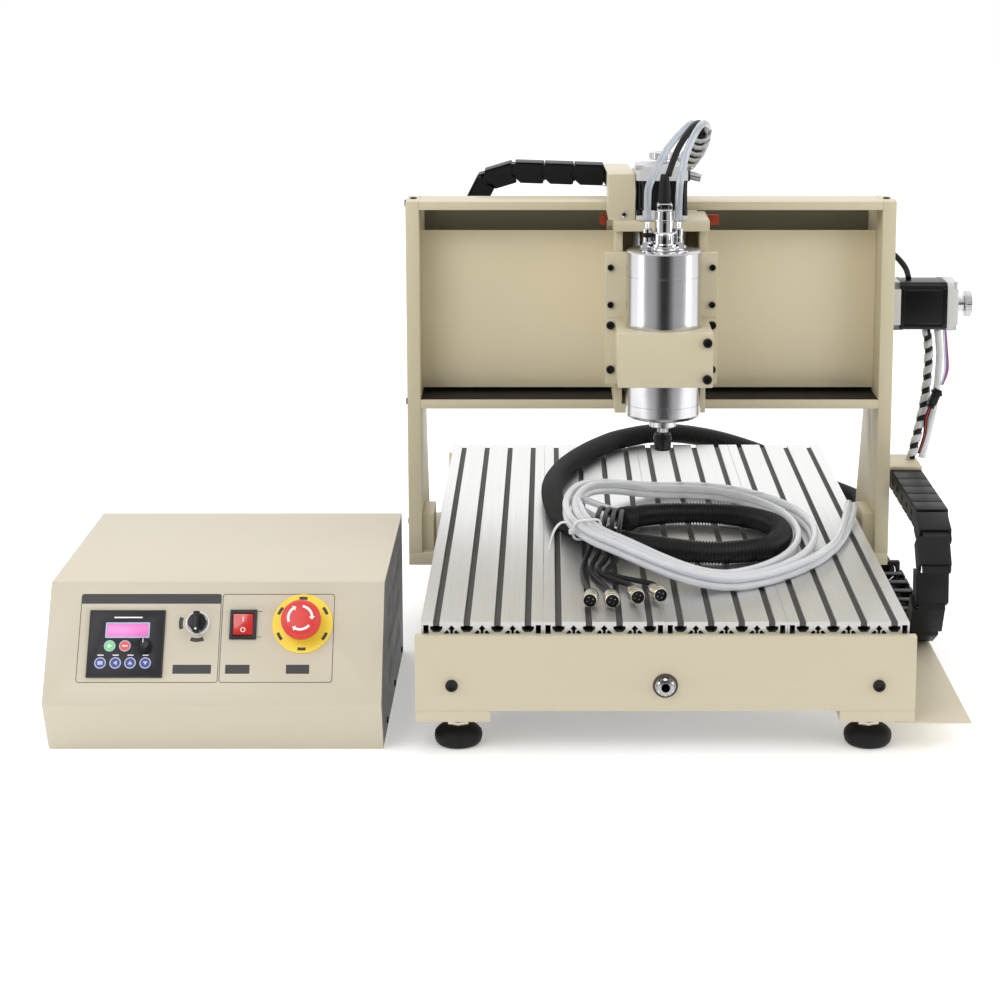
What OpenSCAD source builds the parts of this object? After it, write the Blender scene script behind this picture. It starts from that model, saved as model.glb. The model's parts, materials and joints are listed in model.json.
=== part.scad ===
// Desktop gantry router with a water-cooled spindle and a separate control box.
// Millimetres, +Z up, +Y to the back. The parts are laid out about the middle of
// the table's width and the front face of the gantry, and at_origin() then moves
// them so that the origin is the middle of the footprint, at floor level.

/* [Table] */
// Length of the slotted table, front to back
table_l = 780; // [640:10:940]
// Height of the table's top face above the floor
table_h = 134; // [128:1:150]
// Width of one table extrusion
ext_w = 120; // [100:10:144]
// Thickness of a table extrusion
ext_t = 15; // [14:1:20]
// Distance between two T-slots
slot_pitch = 30; // [24:1:36]
// Width of a T-slot's opening
slot_w = 6.4; // [5:0.2:8]

/* [Base frame] */
// Thickness of the front and back plates
plate_t = 10; // [8:1:15]
// Height of the front and back plates
plate_h = 76; // [66:1:92]
// How far the plates stand out past the table on each side
plate_over = 6; // [4:1:12]
// Height of the rubber levelling feet, up to the foot plates
foot_h = 34.5; // [28:0.5:44]
// Thickness of the foot plates
foot_plate_t = 11.5; // [8:0.5:16]
// Width of a foot plate
foot_plate_w = 74; // [60:1:90]
// Diameter of a levelling foot's rubber base
foot_d = 48; // [38:1:60]
// Width of the chain tray past the side of the frame
tray_w = 56; // [48:1:70]

/* [Guides] */
// Diameter of the round rails of the X and Y axes
rail_d = 16; // [12:1:20]
// Diameter of the X and Y ball screws
screw_d = 16; // [12:1:20]
// Diameter of the Z axis rails
z_rail_d = 12; // [10:1:14]
// Diameter of the Z ball screw
z_screw_d = 12; // [10:1:14]
// Radial clearance of everything that runs on a shaft
run_gap = 0.05; // [0.02:0.01:0.1]
// Half of the distance between the two Y rails
y_rail_x = 210; // [170:1:216]
// Half of the height between the two X rails
x_rail_z = 54; // [46:1:64]

/* [Gantry] */
// Overall height of the gantry above the floor
gantry_h = 502; // [460:2:600]
// Thickness of the gantry's side plates
side_t = 15; // [12:1:20]
// Depth of the side plates beside the beam
side_d = 120; // [112:1:150]
// Depth of the side plates at the bottom
side_foot_d = 184; // [176:1:240]
// Space between the frame's plates and the side plates
side_gap = 14.5; // [10:0.5:24]
// Thickness of the lower cross plate
cross_t = 15; // [13:1:18]
// Depth of the beam's top plate
top_plate_d = 56; // [46:1:60]
// Height of the beam's underside above the floor
beam_z = 265; // [240:1:290]

/* [Carriage] */
// Sideways place of the carriage when the machine is at rest
carriage_x = 8; // [-60:1:60]
// Width of the Z frame
z_frame_w = 100; // [92:1:116]
// Width of the Z carriage plates
z_plate_w = 122; // [118:1:150]
// Diameter of the spindle's body
spindle_d = 80; // [65:1:84]
// Length of the spindle's body
spindle_l = 181; // [160:1:220]
// Bore of the collet
collet_d = 6; // [3:0.5:7]

/* [Control box] */
// Width of the control box
box_w = 333; // [300:1:380]
// Height of the control box
box_h = 160; // [150:1:190]
// Depth of the control box
box_d = 338; // [300:1:380]
// Thickness of its sheet metal
sheet_t = 1.5; // [1:0.1:2.5]
// Free space between the control box and the gantry
box_gap = 3.5; // [3:0.5:40]
// Diameter of the emergency stop's mushroom
stop_d = 39.4; // [34:0.2:44]

/* [Hidden] */
$fn = 64;

beige = [0.84, 0.80, 0.70];
gantry_beige = [0.78, 0.74, 0.62];
grey_metal = [0.80, 0.80, 0.79];
steel = [0.70, 0.71, 0.73];
black = [0.10, 0.10, 0.11];

// Frame
ext_count = 4;
table_w = ext_w * ext_count;
frame_hw = table_w / 2 + plate_over;
frame_z = foot_h + foot_plate_t;
table_under = table_h - ext_t;
table_y = table_l / 2;
frame_y = table_y + plate_t;
ledge_t = 10;
ledge_d = 20;
y_axis_z = frame_z + 26;
journal_d = 10;
frame_screw_d = 13;
head_proud = 2.5;
foot_at = [frame_hw - foot_plate_w / 2 - 4, frame_y - foot_plate_w / 2];
stud_d = 12;
tray_t = 1.5;
tray_in = 20;
tray_top = foot_h;

// Gantry
side_in = frame_hw + side_gap;
side_out = side_in + side_t;
cross_top = y_axis_z + 24;
cross_z = cross_top - cross_t;
block_w = 50;
block_l = 44;
block_top = y_axis_z + 19;
block_h = 38.5;
nut_w = 52;
nut_l = 40;
beam_plate_t = 10;
top_plate_t = 9.5;
beam_top = gantry_h - top_plate_t;
beam_in_z = beam_z + beam_plate_t;
x_axis_z = beam_in_z + 96.5;
x_axis_y = 92;
panel_y = 50;
panel_t = 3;
panel_z0 = beam_in_z + 5;
panel_z1 = beam_top - 29.5;
slant_z = 250;
side_top_drop = 10;
shelf_z = beam_in_z + 146.5;
shelf_d = 50;
shelf_end = 60;
cover_t = 1.5;
foot_block_h = 42;

// NEMA 23 motor and hand knob
motor_w = 56.4;
bell_front = 17.5;
motor_mid = 54;
bell_rear = 12.5;
motor_l = bell_front + motor_mid + bell_rear;
shaft_d = 8;
knob_hub_d = 17.5;
knob_hub_l = 10;
knob_rim_d = 30;
knob_rim_l = 8;
shaft_out = 1;

// Drag chains
link_pitch = 35;
link_w = 34.6;
link_h = 24;
link_gap = 0.6;
y_chain_top = 181.5;
y_chain_x_low = frame_hw + 38.5;
y_chain_x_high = frame_hw + 56.5;
y_chain_bend_y = -130;
y_chain_end_y = 110;
y_chain_links = 18;
x_chain_y = side_d + 27.5;
x_chain_start = carriage_x - 58;
x_chain_bend_x = carriage_x - 168;
x_chain_low = shelf_z + cover_t + link_h / 2;
x_chain_r = 43;
x_chain_links = 12;

// Carriage and Z axis, in x measured from the carriage's own middle
car_hw = 55;
car_y0 = 58;
car_y1 = 114;
car_z0 = beam_in_z + 16;
arm_z0 = panel_z1 + 4;
arm_z1 = arm_z0 + 13;
low_arm_z0 = beam_in_z + 1;
low_arm_t = 3;
zf_y0 = -78;
zf_y1 = -5;
zf_wall = 8;
zf_back = 10;
zf_z0 = beam_in_z + 2;
zf_z1 = arm_z1;
cap_t = 12;
cap_front = -88;
cap_top = zf_z1 + cap_t;
z_axis_y = -60;
z_rail_y = -42;
z_rail_x = 25;
zc_gap = 0.6;
zc_hw = z_frame_w / 2 - zf_wall - 2;
zc_back = zf_y1 - zf_back - 3;
zc_block = [zf_z0 + 63, zf_z0 + 153];
zp_z = [zf_z0 + 36, zf_z0 + 108, zf_z0 + 180];
zp_back = zf_y0 - zc_gap;
zp_low_t = 16.4;
zp_high_t = 12.4;
clamp_z = [zf_z0 + 51, zf_z0 + 109];
clamp_wall = 10;
clamp_w = spindle_d + 2 * clamp_wall;
spindle_y = zp_back - zp_low_t - spindle_d / 2 - 7;
clamp_front = spindle_y - spindle_d / 2 - clamp_wall;
clamp_slit = 3;
spindle_z0 = zf_z0 + 10;
spindle_z1 = spindle_z0 + spindle_l;
nose_l = 11;
nose_d = 29;
rotor_d = 12;
rotor_top = spindle_z1 - 30;
nut_d = 19;
nut_z = [spindle_z0 - 37, spindle_z0 - 18];

// Control box, its side view seen from the right
box_x1 = -side_out - box_gap;
box_x0 = box_x1 - box_w;
box_knee = [-405, 53];
box_foot_y = box_knee[0] + 24;
box_slope_y = box_knee[0] + 66;
box_back_y = box_knee[0] + box_d;
panel_tilt = atan2(box_h - box_knee[1], box_slope_y - box_knee[0]);
keypad_box = [[41, 28], [116, 96]];
display_box = [[59, 69], [100, 82]];
speed_at = [97, 59.6];
selector_at = [148.5, 83];
rocker_box = [[180.5, 66.6], [207, 96.5]];
stop_at = [252.7, 82.4];
stop_disc_d = 60;
stop_stem_d = 22;
socket_count = 4;
socket_x = 190;
socket_pitch = 30;
socket_z = 105;
inlet_box = [[44, 34], [84, 54]];
fan_x = [110, 150];
panel_cut = 6;

// Overall box, which sets where the origin lies
screw_end_y = -frame_y - 8;
all_x = [box_x0, side_out + motor_l + shaft_out + knob_hub_l + knob_rim_l];
all_y = [min(screw_end_y, box_knee[0]), frame_y + motor_l + shaft_out + knob_hub_l + knob_rim_l];

// Free cords, as points chosen by hand along each one's middle
cord_z = table_h + 13;
conduit_d = 25;
conduit_route = [
    [285, 86, 50], [285, 150, 49], [288, 230, 49], [296, 320, 49], [300, 392, 48],
    [296, 444, 48], [268, 478, 54], [222, 482, 78], [166, 458, 108], [100, 428, 134],
    [36, 404, 146.8], [-18, 370, cord_z], [-52, 318, cord_z], [-80, 254, cord_z],
    [-101, 180, cord_z], [-111, 100, cord_z],
    [-106, 0, cord_z], [-92, -64, cord_z], [-56, -120, cord_z],
    [0, -162, cord_z], [60, -184, cord_z], [114, -168, cord_z], [140, -120, cord_z],
    [136, -66, cord_z], [100, -28, cord_z], [50, -16, cord_z], [0, -24, cord_z],
    [-34, -46, cord_z]
];
lead_d = 5.6;
lead_starts = [[-38.2, -42, 147], [-35, -47, 153], [-34, -48, 140.5], [-29.6, -55, 149]];
plug_at = [[-72, -338, 144], [-52, -340, 144], [-28, -330, 145], [-6, -324, 145]];
plug_turn = [-6, 4, 12, 18];
plug_d = 16;
plug_l = 26;
tube_d = 8;
coil_at = [42, -85];
coil_out = [142, 208];
coil_w = 25;
coil_h = 17;
coil_z = table_h + 15.5;
coil_tilt = 5.2;
tube_tail = [[189, -150, 143], [208, -106, 143], [227, -40, 143], [238, 18, 147]];
bundle_r = 6.5;
bundle_route = [
    [side_out + 55, x_axis_y + 14, x_axis_z - motor_w / 2 - 7],
    [side_out + 60, x_axis_y + 24, 300], [side_out + 54, x_axis_y + 16, 245],
    [side_out + 38, x_axis_y - 4, 193]
];
lead_route = [
    [side_out + 4, side_d + 8, x_axis_z + 60], [side_out + 18, side_d, x_axis_z + 52],
    [side_out + 28, side_d - 14, x_axis_z + 40], [side_out + 30, x_axis_y, x_axis_z + 32]
];
hose_r = 4;
hose_apart = 9;
cable_from = 6;
hose_mid = [
    [8, -143, 499], [8, -143, 516], [10, -142, 540], [23, -127, 574], [42, -96, 596],
    [52, -56, 590], [50, -10, 564], [36, 44, 538], [8, 96, 521], [-20, 132, 515],
    [-46, 147, 514]
];

// ---------- helpers ----------

module at_origin() {
    translate([-(all_x[0] + all_x[1]) / 2, -(all_y[0] + all_y[1]) / 2, 0]) children();
}

// A rod of diameter d from x, y, z along one axis
module rod_x(p, d, l) {
    translate(p) rotate([0, 90, 0]) cylinder(d = d, h = l);
}

module rod_y(p, d, l) {
    translate(p) rotate([-90, 0, 0]) cylinder(d = d, h = l);
}

module rod_z(p, d, l) {
    translate(p) cylinder(d = d, h = l);
}

module block(low, high) {
    translate(low) cube([high[0] - low[0], high[1] - low[1], high[2] - low[2]]);
}

// An outline in y and z, extruded along x from x0 to x1
module side_shape(x0, x1) {
    translate([x0, 0, 0]) rotate([90, 0, 90]) linear_extrude(x1 - x0) children();
}

module mirror_x() {
    children();
    mirror([1, 0, 0]) children();
}

module cut_square(w, cut) {
    h = w / 2;
    polygon([
        [-h + cut, -h], [h - cut, -h], [h, -h + cut], [h, h - cut],
        [h - cut, h], [-h + cut, h], [-h, h - cut], [-h, -h + cut]
    ]);
}

// A socket-head screw's head: it stands out along +Z from the origin
module screw_head(d, proud, deep = 0) {
    difference() {
        translate([0, 0, -deep]) cylinder(d = d, h = proud + deep);
        translate([0, 0, proud - d * 0.28]) cylinder(d = d * 0.56, h = d, $fn = 6);
    }
}

function unit(v) = v / norm(v);

function curve_point(a, b, c, d, t) =
    0.5 * (2 * b + (c - a) * t + (2 * a - 5 * b + 4 * c - d) * t * t
        + (3 * b - a - 3 * c + d) * t * t * t);

// A smooth line through the points, with n steps between two of them
function smooth_line(p, n) = concat(
    [for (i = [0 : len(p) - 2]) for (k = [0 : n - 1]) curve_point(
        p[max(i - 1, 0)], p[i], p[i + 1], p[min(i + 2, len(p) - 1)], k / n)],
    [p[len(p) - 1]]);

function directions(p) = [for (i = [0 : len(p) - 1])
    unit(p[min(i + 1, len(p) - 1)] - p[max(i - 1, 0)])];

// Side vectors carried along the line without twist
function carried(t, s) = len(s) == len(t) ? s
    : carried(t, concat(s, [unit(s[len(s) - 1] - (s[len(s) - 1] * t[len(s)]) * t[len(s)])]));

module swept_tube(line, r, sides = 10) {
    t = directions(line);
    first = unit(cross(t[0], abs(t[0][2]) > 0.9 ? [1, 0, 0] : [0, 0, 1]));
    s = carried(t, [first]);
    n = len(line);
    points = [for (i = [0 : n - 1]) for (k = [0 : sides - 1])
        line[i] + r * (cos(360 * k / sides) * s[i] + sin(360 * k / sides) * cross(t[i], s[i]))];
    walls = [for (i = [0 : n - 2]) for (k = [0 : sides - 1])
        [i * sides + k, (i + 1) * sides + k,
         (i + 1) * sides + (k + 1) % sides, i * sides + (k + 1) % sides]];
    start = [[for (k = [0 : sides - 1]) k]];
    end = [[for (k = [0 : sides - 1]) n * sides - 1 - k]];
    polyhedron(points, concat(start, walls, end));
}

// ---------- base frame ----------

module end_plate() {
    difference() {
        union() {
            block([-frame_hw, -frame_y, frame_z], [frame_hw, -table_y, frame_z + plate_h]);
            block([-table_w / 2, -table_y, table_under - ledge_t],
                  [table_w / 2, -table_y + ledge_d, table_under]);
        }
        rod_y([0, -frame_y - 1, y_axis_z], journal_d + 2 * run_gap, plate_t + 2);
        mirror_x() rod_y([y_rail_x, -frame_y - 1, y_axis_z], frame_screw_d, plate_t - 3);
    }
}

module front_plate() {
    color(beige) end_plate();
}

module back_plate() {
    color(beige) mirror([0, 1, 0]) end_plate();
}

module slot_2d() {
    h = slot_w / 2;
    polygon([
        [-h, 1], [-h, -4.5], [-6, -4.5], [-6, -7.5], [-3, -10.5], [3, -10.5],
        [6, -7.5], [6, -4.5], [h, -4.5], [h, 1]
    ]);
}

module extrusion_2d() {
    slots = floor(ext_w / slot_pitch);
    first = (ext_w - (slots - 1) * slot_pitch) / 2;
    hollow = slot_pitch / 2 - 6.5;
    difference() {
        square([ext_w, ext_t]);
        for (i = [0 : slots - 1])
            translate([first + i * slot_pitch, ext_t]) slot_2d();
        for (i = [0 : slots - 2])
            translate([first + (i + 0.5) * slot_pitch, 0])
                polygon([[-hollow, 2], [hollow, 2], [0, ext_t - 3.5]]);
        for (x = [2, ext_w - first + 7.5])
            translate([x, 2]) square([first - 9.5, ext_t - 5]);
    }
}

module table_extrusions() {
    color(grey_metal)
    for (i = [0 : ext_count - 1])
        translate([-table_w / 2 + i * ext_w, table_y, table_under])
            rotate([90, 0, 0]) linear_extrude(table_l) extrusion_2d();
}

module y_guide_rails() {
    color(steel)
    mirror_x() rod_y([y_rail_x, -table_y, y_axis_z], rail_d, table_l);
}

module frame_screws() {
    color(black)
    for (side = [0, 1]) mirror([0, side, 0]) mirror_x()
        translate([y_rail_x, -frame_y, y_axis_z]) rotate([90, 0, 0])
            screw_head(frame_screw_d - 0.6, head_proud, plate_t - 4);
}

module foot_plates() {
    color(beige)
    for (side = [0, 1]) mirror([0, side, 0]) mirror_x()
        block([frame_hw - foot_plate_w, -frame_y, foot_h],
              [frame_hw, -frame_y + foot_plate_w, frame_z]);
}

module leveling_feet() {
    color(black)
    for (side = [0, 1]) mirror([0, side, 0]) mirror_x()
        translate([foot_at[0], -foot_at[1], 0]) rotate_extrude()
            polygon([
                [0, 0], [foot_d / 2 - 1, 0], [foot_d / 2, 1.5], [foot_d / 2, 10],
                [foot_d / 2 - 4, 17], [foot_d / 2 - 10, 20.5], [13, 21], [13, 25],
                [stud_d / 2, 26], [stud_d / 2, foot_h], [0, foot_h]
            ]);
}

module chain_tray() {
    color(beige) {
        block([frame_hw - tray_in, -frame_y, tray_top - tray_t],
              [frame_hw + tray_w, frame_y, tray_top]);
        block([y_chain_x_low - 20, y_chain_last_y + 1, tray_top],
              [y_chain_x_low + 20, y_chain_last_y + 17, tray_top + 2]);
    }
}

// Motor with its shaft's bore along +Z, standing on the origin
module motor() {
    difference() {
        union() {
            linear_extrude(bell_front) cut_square(motor_w, 4);
            translate([0, 0, bell_front]) linear_extrude(motor_mid) cut_square(motor_w - 0.8, 9);
            translate([0, 0, bell_front + motor_mid]) linear_extrude(bell_rear)
                cut_square(motor_w, 4);
        }
        translate([0, 0, -1]) cylinder(d = shaft_d + 2 * run_gap, h = motor_l + 2);
    }
}

module y_motor() {
    color(black) translate([0, frame_y, y_axis_z]) rotate([-90, 0, 0]) motor();
}

// Hand knob standing on the origin, along +Z
module knob() {
    cylinder(d = knob_hub_d, h = knob_hub_l);
    translate([0, 0, knob_hub_l]) cylinder(d = knob_rim_d, h = knob_rim_l);
}

module y_ball_screw() {
    color(steel) {
        rod_y([0, -table_y + 1, y_axis_z], screw_d, table_l - 2);
        rod_y([0, screw_end_y, y_axis_z], journal_d, -screw_end_y);
        rod_y([0, 0, y_axis_z], journal_d, frame_y);
        rod_y([0, frame_y, y_axis_z], shaft_d, motor_l + shaft_out);
        rod_y([0, -frame_y - 1.8, y_axis_z], 20, 1.5);
        translate([0, -frame_y - 1.8, y_axis_z]) rotate([90, 0, 0])
            cylinder(d = 18, h = 5, $fn = 6);
    }
}

module y_handwheel() {
    color(steel)
    translate([0, frame_y + motor_l + shaft_out, y_axis_z]) rotate([-90, 0, 0]) knob();
}

// Side view of a drag chain's link, between two places that each hold how far along,
// how high and the turn of the chain there
function chain_edge(p, side) = [p[0] - side * sin(p[2]), p[1] + side * cos(p[2])];

function link_outline(a, b) = [
    chain_edge(a, link_h / 2), chain_edge(b, link_h / 2),
    chain_edge(b, -link_h / 2), chain_edge(a, -link_h / 2)
];

function link_start(i) = i * link_pitch + link_gap / 2;
function link_end(i) = (i + 1) * link_pitch - link_gap / 2;

y_chain_low_z = tray_top + link_h / 2;
y_chain_high_z = y_chain_top - link_h / 2;
y_chain_r = (y_chain_high_z - y_chain_low_z) / 2;
y_chain_upper = y_chain_end_y - y_chain_bend_y;
y_chain_last_y = y_chain_bend_y + y_chain_links * link_pitch - y_chain_upper - PI * y_chain_r;

// The Y chain in its side view, s along it from the gantry's end
function y_chain_at(s) =
    let (arc = PI * y_chain_r, a = s - y_chain_upper, turn = a / y_chain_r * 180 / PI)
    a < 0 ? [y_chain_end_y - s, y_chain_high_z, 0]
    : a < arc ? [
        y_chain_bend_y - y_chain_r * sin(turn),
        (y_chain_low_z + y_chain_high_z) / 2 + y_chain_r * cos(turn), turn]
    : [y_chain_bend_y + a - arc, y_chain_low_z, 180];

// The lower run lies nearer to the frame than the upper run, and the bend leans over
function y_chain_x(s) =
    let (k = max(0, min(1, (s - y_chain_upper) / (PI * y_chain_r))))
    y_chain_x_high + (y_chain_x_low - y_chain_x_high) * k;

module y_drag_chain() {
    color(black)
    for (i = [0 : y_chain_links - 1]) {
        x = y_chain_x((i + 0.5) * link_pitch);
        side_shape(x - link_w / 2, x + link_w / 2)
            polygon(link_outline(y_chain_at(link_start(i)), y_chain_at(link_end(i))));
    }
}

// ---------- gantry ----------

module side_plate(outer_bores) {
    difference() {
        side_shape(side_in, side_out) polygon([
            [0, cross_top], [side_foot_d - (cross_top - cross_z) * 0.38, cross_top],
            [side_d, slant_z], [side_d, gantry_h - side_top_drop],
            [top_plate_d + 4, gantry_h], [0, gantry_h]
        ]);
        for (s = [-1, 1]) rod_x([side_in - 1, x_axis_y, x_axis_z + s * x_rail_z], 9, side_t + 2);
        rod_x([side_in - 1, x_axis_y, x_axis_z], outer_bores, side_t + 2);
    }
}

module side_plate_left() {
    color(gantry_beige) mirror([1, 0, 0]) side_plate(journal_d + 2 * run_gap);
}

module side_plate_right() {
    color(gantry_beige) side_plate(journal_d + 2 * run_gap);
}

module lower_cross_plate() {
    color(gantry_beige)
    difference() {
        union() {
            block([-side_out, 0, cross_z], [side_out, side_foot_d, cross_top]);
            mirror_x() block([frame_hw + 1.5, 14, cross_top],
                             [side_in, 74, cross_top + foot_block_h]);
        }
        mirror_x() block([y_rail_x - block_w / 2, -1, cross_z - 1],
                         [y_rail_x + block_w / 2, side_foot_d + 1, block_top]);
        block([-nut_w / 2, -1, cross_z - 1], [nut_w / 2, side_foot_d + 1, block_top]);
    }
}

module y_bearing_blocks() {
    color(grey_metal) {
        mirror_x() for (y = [24, side_foot_d - 24 - block_l]) difference() {
            block([y_rail_x - block_w / 2, y, block_top - block_h],
                  [y_rail_x + block_w / 2, y + block_l, block_top]);
            rod_y([y_rail_x, y - 1, y_axis_z], rail_d + 2 * run_gap, block_l + 2);
        }
        difference() {
            block([-nut_w / 2, 72, y_axis_z - 20], [nut_w / 2, 72 + nut_l, block_top]);
            rod_y([0, 71, y_axis_z], screw_d + 2 * run_gap, nut_l + 2);
        }
    }
}

module beam_top_plate() {
    color(gantry_beige) block([-side_in, 0, beam_top], [side_in, top_plate_d, gantry_h]);
}

module beam_bottom_plate() {
    color(gantry_beige) block([-side_in, 0, beam_z], [side_in, side_d, beam_in_z]);
}

module dust_panel() {
    color(gantry_beige)
    block([-side_in, panel_y, panel_z0], [side_in, panel_y + panel_t, panel_z1]);
}

module rear_cover() {
    color(gantry_beige) {
        block([-side_out, side_d, beam_z], [side_out, side_d + cover_t, beam_top]);
        block([-side_out, side_d, shelf_z], [shelf_end, side_d + shelf_d, shelf_z + cover_t]);
    }
}

module x_guide_rails() {
    color(steel)
    for (s = [-1, 1])
        rod_x([-side_in, x_axis_y, x_axis_z + s * x_rail_z], rail_d, 2 * side_in);
}

module x_motor() {
    color(black) translate([side_out, x_axis_y, x_axis_z]) rotate([0, 90, 0]) motor();
}

module y_chain_bracket() {
    color(gantry_beige) {
        block([side_out, 50, y_chain_top], [y_chain_x_high + 18, side_d - 6, y_chain_top + 4]);
        block([side_out, 50, y_chain_top + 4], [side_out + 4, side_d - 6, y_chain_top + 26]);
    }
}

// The X chain in its side view, s along it from the carriage's end
x_chain_mid_z = x_chain_low + x_chain_r;
x_chain_rise = 3.6;
x_chain_upper = norm([x_chain_start - x_chain_bend_x, x_chain_rise]);

function x_chain_at(s) =
    let (arc = PI * x_chain_r, a = s - x_chain_upper, turn = a / x_chain_r * 180 / PI,
         k = s / x_chain_upper)
    a < 0 ? [x_chain_start + (x_chain_bend_x - x_chain_start) * k,
             x_chain_mid_z + x_chain_r - x_chain_rise * (1 - k), 0]
    : a < arc ? [x_chain_bend_x - x_chain_r * sin(turn), x_chain_mid_z + x_chain_r * cos(turn), turn]
    : [x_chain_bend_x + a - arc, x_chain_low, 180];

module x_drag_chain() {
    color(black)
    for (i = [0 : x_chain_links - 1])
        translate([0, x_chain_y + link_w / 2, 0]) rotate([90, 0, 0]) linear_extrude(link_w)
            polygon(link_outline(x_chain_at(link_start(i)), x_chain_at(link_end(i))));
}

module x_cable_bundle() {
    color("white") swept_tube(smooth_line(bundle_route, 5), bundle_r, 12);
    color(black) swept_tube(smooth_line(lead_route, 4), 3.5, 10);
}

module gantry_screws() {
    color(black) {
        for (s = [-1, 1]) translate([-side_out, x_axis_y, x_axis_z + s * x_rail_z])
            rotate([0, -90, 0]) screw_head(frame_screw_d, 4);
        for (side = [0, 1]) mirror([side, 0, 0]) {
            for (y = [20, 100]) translate([side_out, y, beam_z + beam_plate_t / 2])
                rotate([0, 90, 0]) screw_head(8, head_proud);
            translate([side_out, top_plate_d / 2, gantry_h - top_plate_t / 2])
                rotate([0, 90, 0]) screw_head(8, head_proud);
            for (y = [34, 60]) translate([side_out, y, cross_top + foot_block_h - 13])
                rotate([0, 90, 0]) screw_head(8, head_proud);
            translate([side_in + side_t / 2, top_plate_d / 2 + 2, gantry_h])
                screw_head(8, 1.5);
        }
    }
}

module x_ball_screw() {
    color(steel) {
        rod_x([-side_in + 1, x_axis_y, x_axis_z], screw_d, 2 * side_in - 2);
        rod_x([-side_out - 4, x_axis_y, x_axis_z], journal_d, side_out + 4);
        rod_x([0, x_axis_y, x_axis_z], journal_d, side_out);
        rod_x([side_out, x_axis_y, x_axis_z], shaft_d, motor_l + shaft_out);
        translate([-side_out - 0.4, x_axis_y, x_axis_z]) rotate([0, -90, 0])
            cylinder(d = 17, h = 4, $fn = 6);
    }
}

module x_handwheel() {
    color(steel)
    translate([side_out + motor_l + shaft_out, x_axis_y, x_axis_z]) rotate([0, 90, 0]) knob();
}

// ---------- X carriage ----------

module x_carriage() {
    color(grey_metal) translate([carriage_x, 0, 0])
    difference() {
        union() {
            block([-car_hw, car_y0, car_z0], [car_hw, car_y1, arm_z0]);
            block([-car_hw + 5, zf_y1, low_arm_z0],
                  [car_hw - 5, car_y0 + 12, low_arm_z0 + low_arm_t]);
            block([-car_hw + 5, car_y0, low_arm_z0], [car_hw - 5, car_y0 + 12, car_z0 + 1]);
            block([-z_frame_w / 2, zf_y1, arm_z0], [z_frame_w / 2, car_y1, arm_z1]);
        }
        for (s = [-1, 1])
            rod_x([-car_hw - 1, x_axis_y, x_axis_z + s * x_rail_z],
                  rail_d + 2 * run_gap, 2 * car_hw + 2);
        rod_x([-car_hw - 1, x_axis_y, x_axis_z], screw_d + 2 * run_gap, 2 * car_hw + 2);
    }
}

module z_frame() {
    color(gantry_beige) translate([carriage_x, 0, 0])
    difference() {
        union() {
            mirror_x() block([z_frame_w / 2 - zf_wall, zf_y0, zf_z0],
                             [z_frame_w / 2, zf_y1, zf_z1]);
            block([-z_frame_w / 2, zf_y1 - zf_back, zf_z0], [z_frame_w / 2, zf_y1, zf_z1]);
            block([-z_frame_w / 2, zf_y0, zf_z0], [z_frame_w / 2, zf_y1, zf_z0 + zf_back]);
        }
        rod_z([0, z_axis_y, zf_z0 - 1], shaft_d + 2 * run_gap, zf_back + 2);
    }
}

module z_top_cap() {
    color(gantry_beige) translate([carriage_x, 0, 0])
    difference() {
        translate([-z_frame_w / 2 - 2, 0, 0]) side_shape(0, z_frame_w + 4) polygon([
            [cap_front, zf_z1], [zf_y1, zf_z1], [zf_y1, cap_top],
            [cap_front + 3, cap_top], [cap_front, cap_top - 3]
        ]);
        rod_z([0, z_axis_y, zf_z1 - 1], shaft_d + 2 * run_gap, cap_t + 2);
    }
}

module z_guide_rails() {
    color(steel) translate([carriage_x, 0, 0])
    mirror_x() rod_z([z_rail_x, z_rail_y, zf_z0 + zf_back], z_rail_d, zf_z1 - zf_z0 - zf_back);
}

z_bell_front = 11;
z_mid = 32;
z_bell_rear = 16;
z_motor_l = z_bell_front + z_mid + z_bell_rear;

module z_motor() {
    color(black) translate([carriage_x, z_axis_y, cap_top])
    difference() {
        union() {
            linear_extrude(z_bell_front) cut_square(motor_w, 4);
            translate([0, 0, z_bell_front]) linear_extrude(z_mid) cut_square(motor_w - 0.8, 9);
            translate([0, 0, z_bell_front + z_mid]) linear_extrude(z_bell_rear)
                cut_square(motor_w, 4);
        }
        translate([0, 0, -1]) cylinder(d = shaft_d + 2 * run_gap, h = z_motor_l + 2);
    }
}

module x_chain_bracket() {
    back = side_d + 45;
    front = cap_front + 3;
    color(gantry_beige) translate([carriage_x, 0, 0])
    union() {
        side_shape(-58, -29) polygon([
            [front, cap_top], [front, cap_top + 50], [back, cap_top + 36],
            [back, cap_top + 34], [front + 2, cap_top + 48], [front + 2, cap_top]
        ]);
        side_shape(-58, -56) polygon([
            [front, cap_top], [front, cap_top + 50], [zf_y1 + 3, cap_top + 44.8],
            [zf_y1 + 3, cap_top + 18], [zf_y1 - 20, cap_top]
        ]);
        block([-58, front, cap_top], [-29.5, zf_y1, cap_top + 2]);
    }
}

module z_ball_screw() {
    color(steel) translate([carriage_x, 0, 0]) {
        rod_z([0, z_axis_y, zf_z0 + zf_back + 1], z_screw_d, zf_z1 - zf_z0 - zf_back - 2);
        rod_z([0, z_axis_y, zf_z0], shaft_d, cap_top + z_motor_l + shaft_out - zf_z0);
    }
}

module z_handwheel() {
    color(grey_metal) translate([carriage_x, z_axis_y, cap_top + z_motor_l + shaft_out]) {
        cylinder(d = 12, h = 4);
        translate([0, 0, 4]) cylinder(d = 26, h = 8);
    }
}

// ---------- Z carriage and spindle ----------

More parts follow.
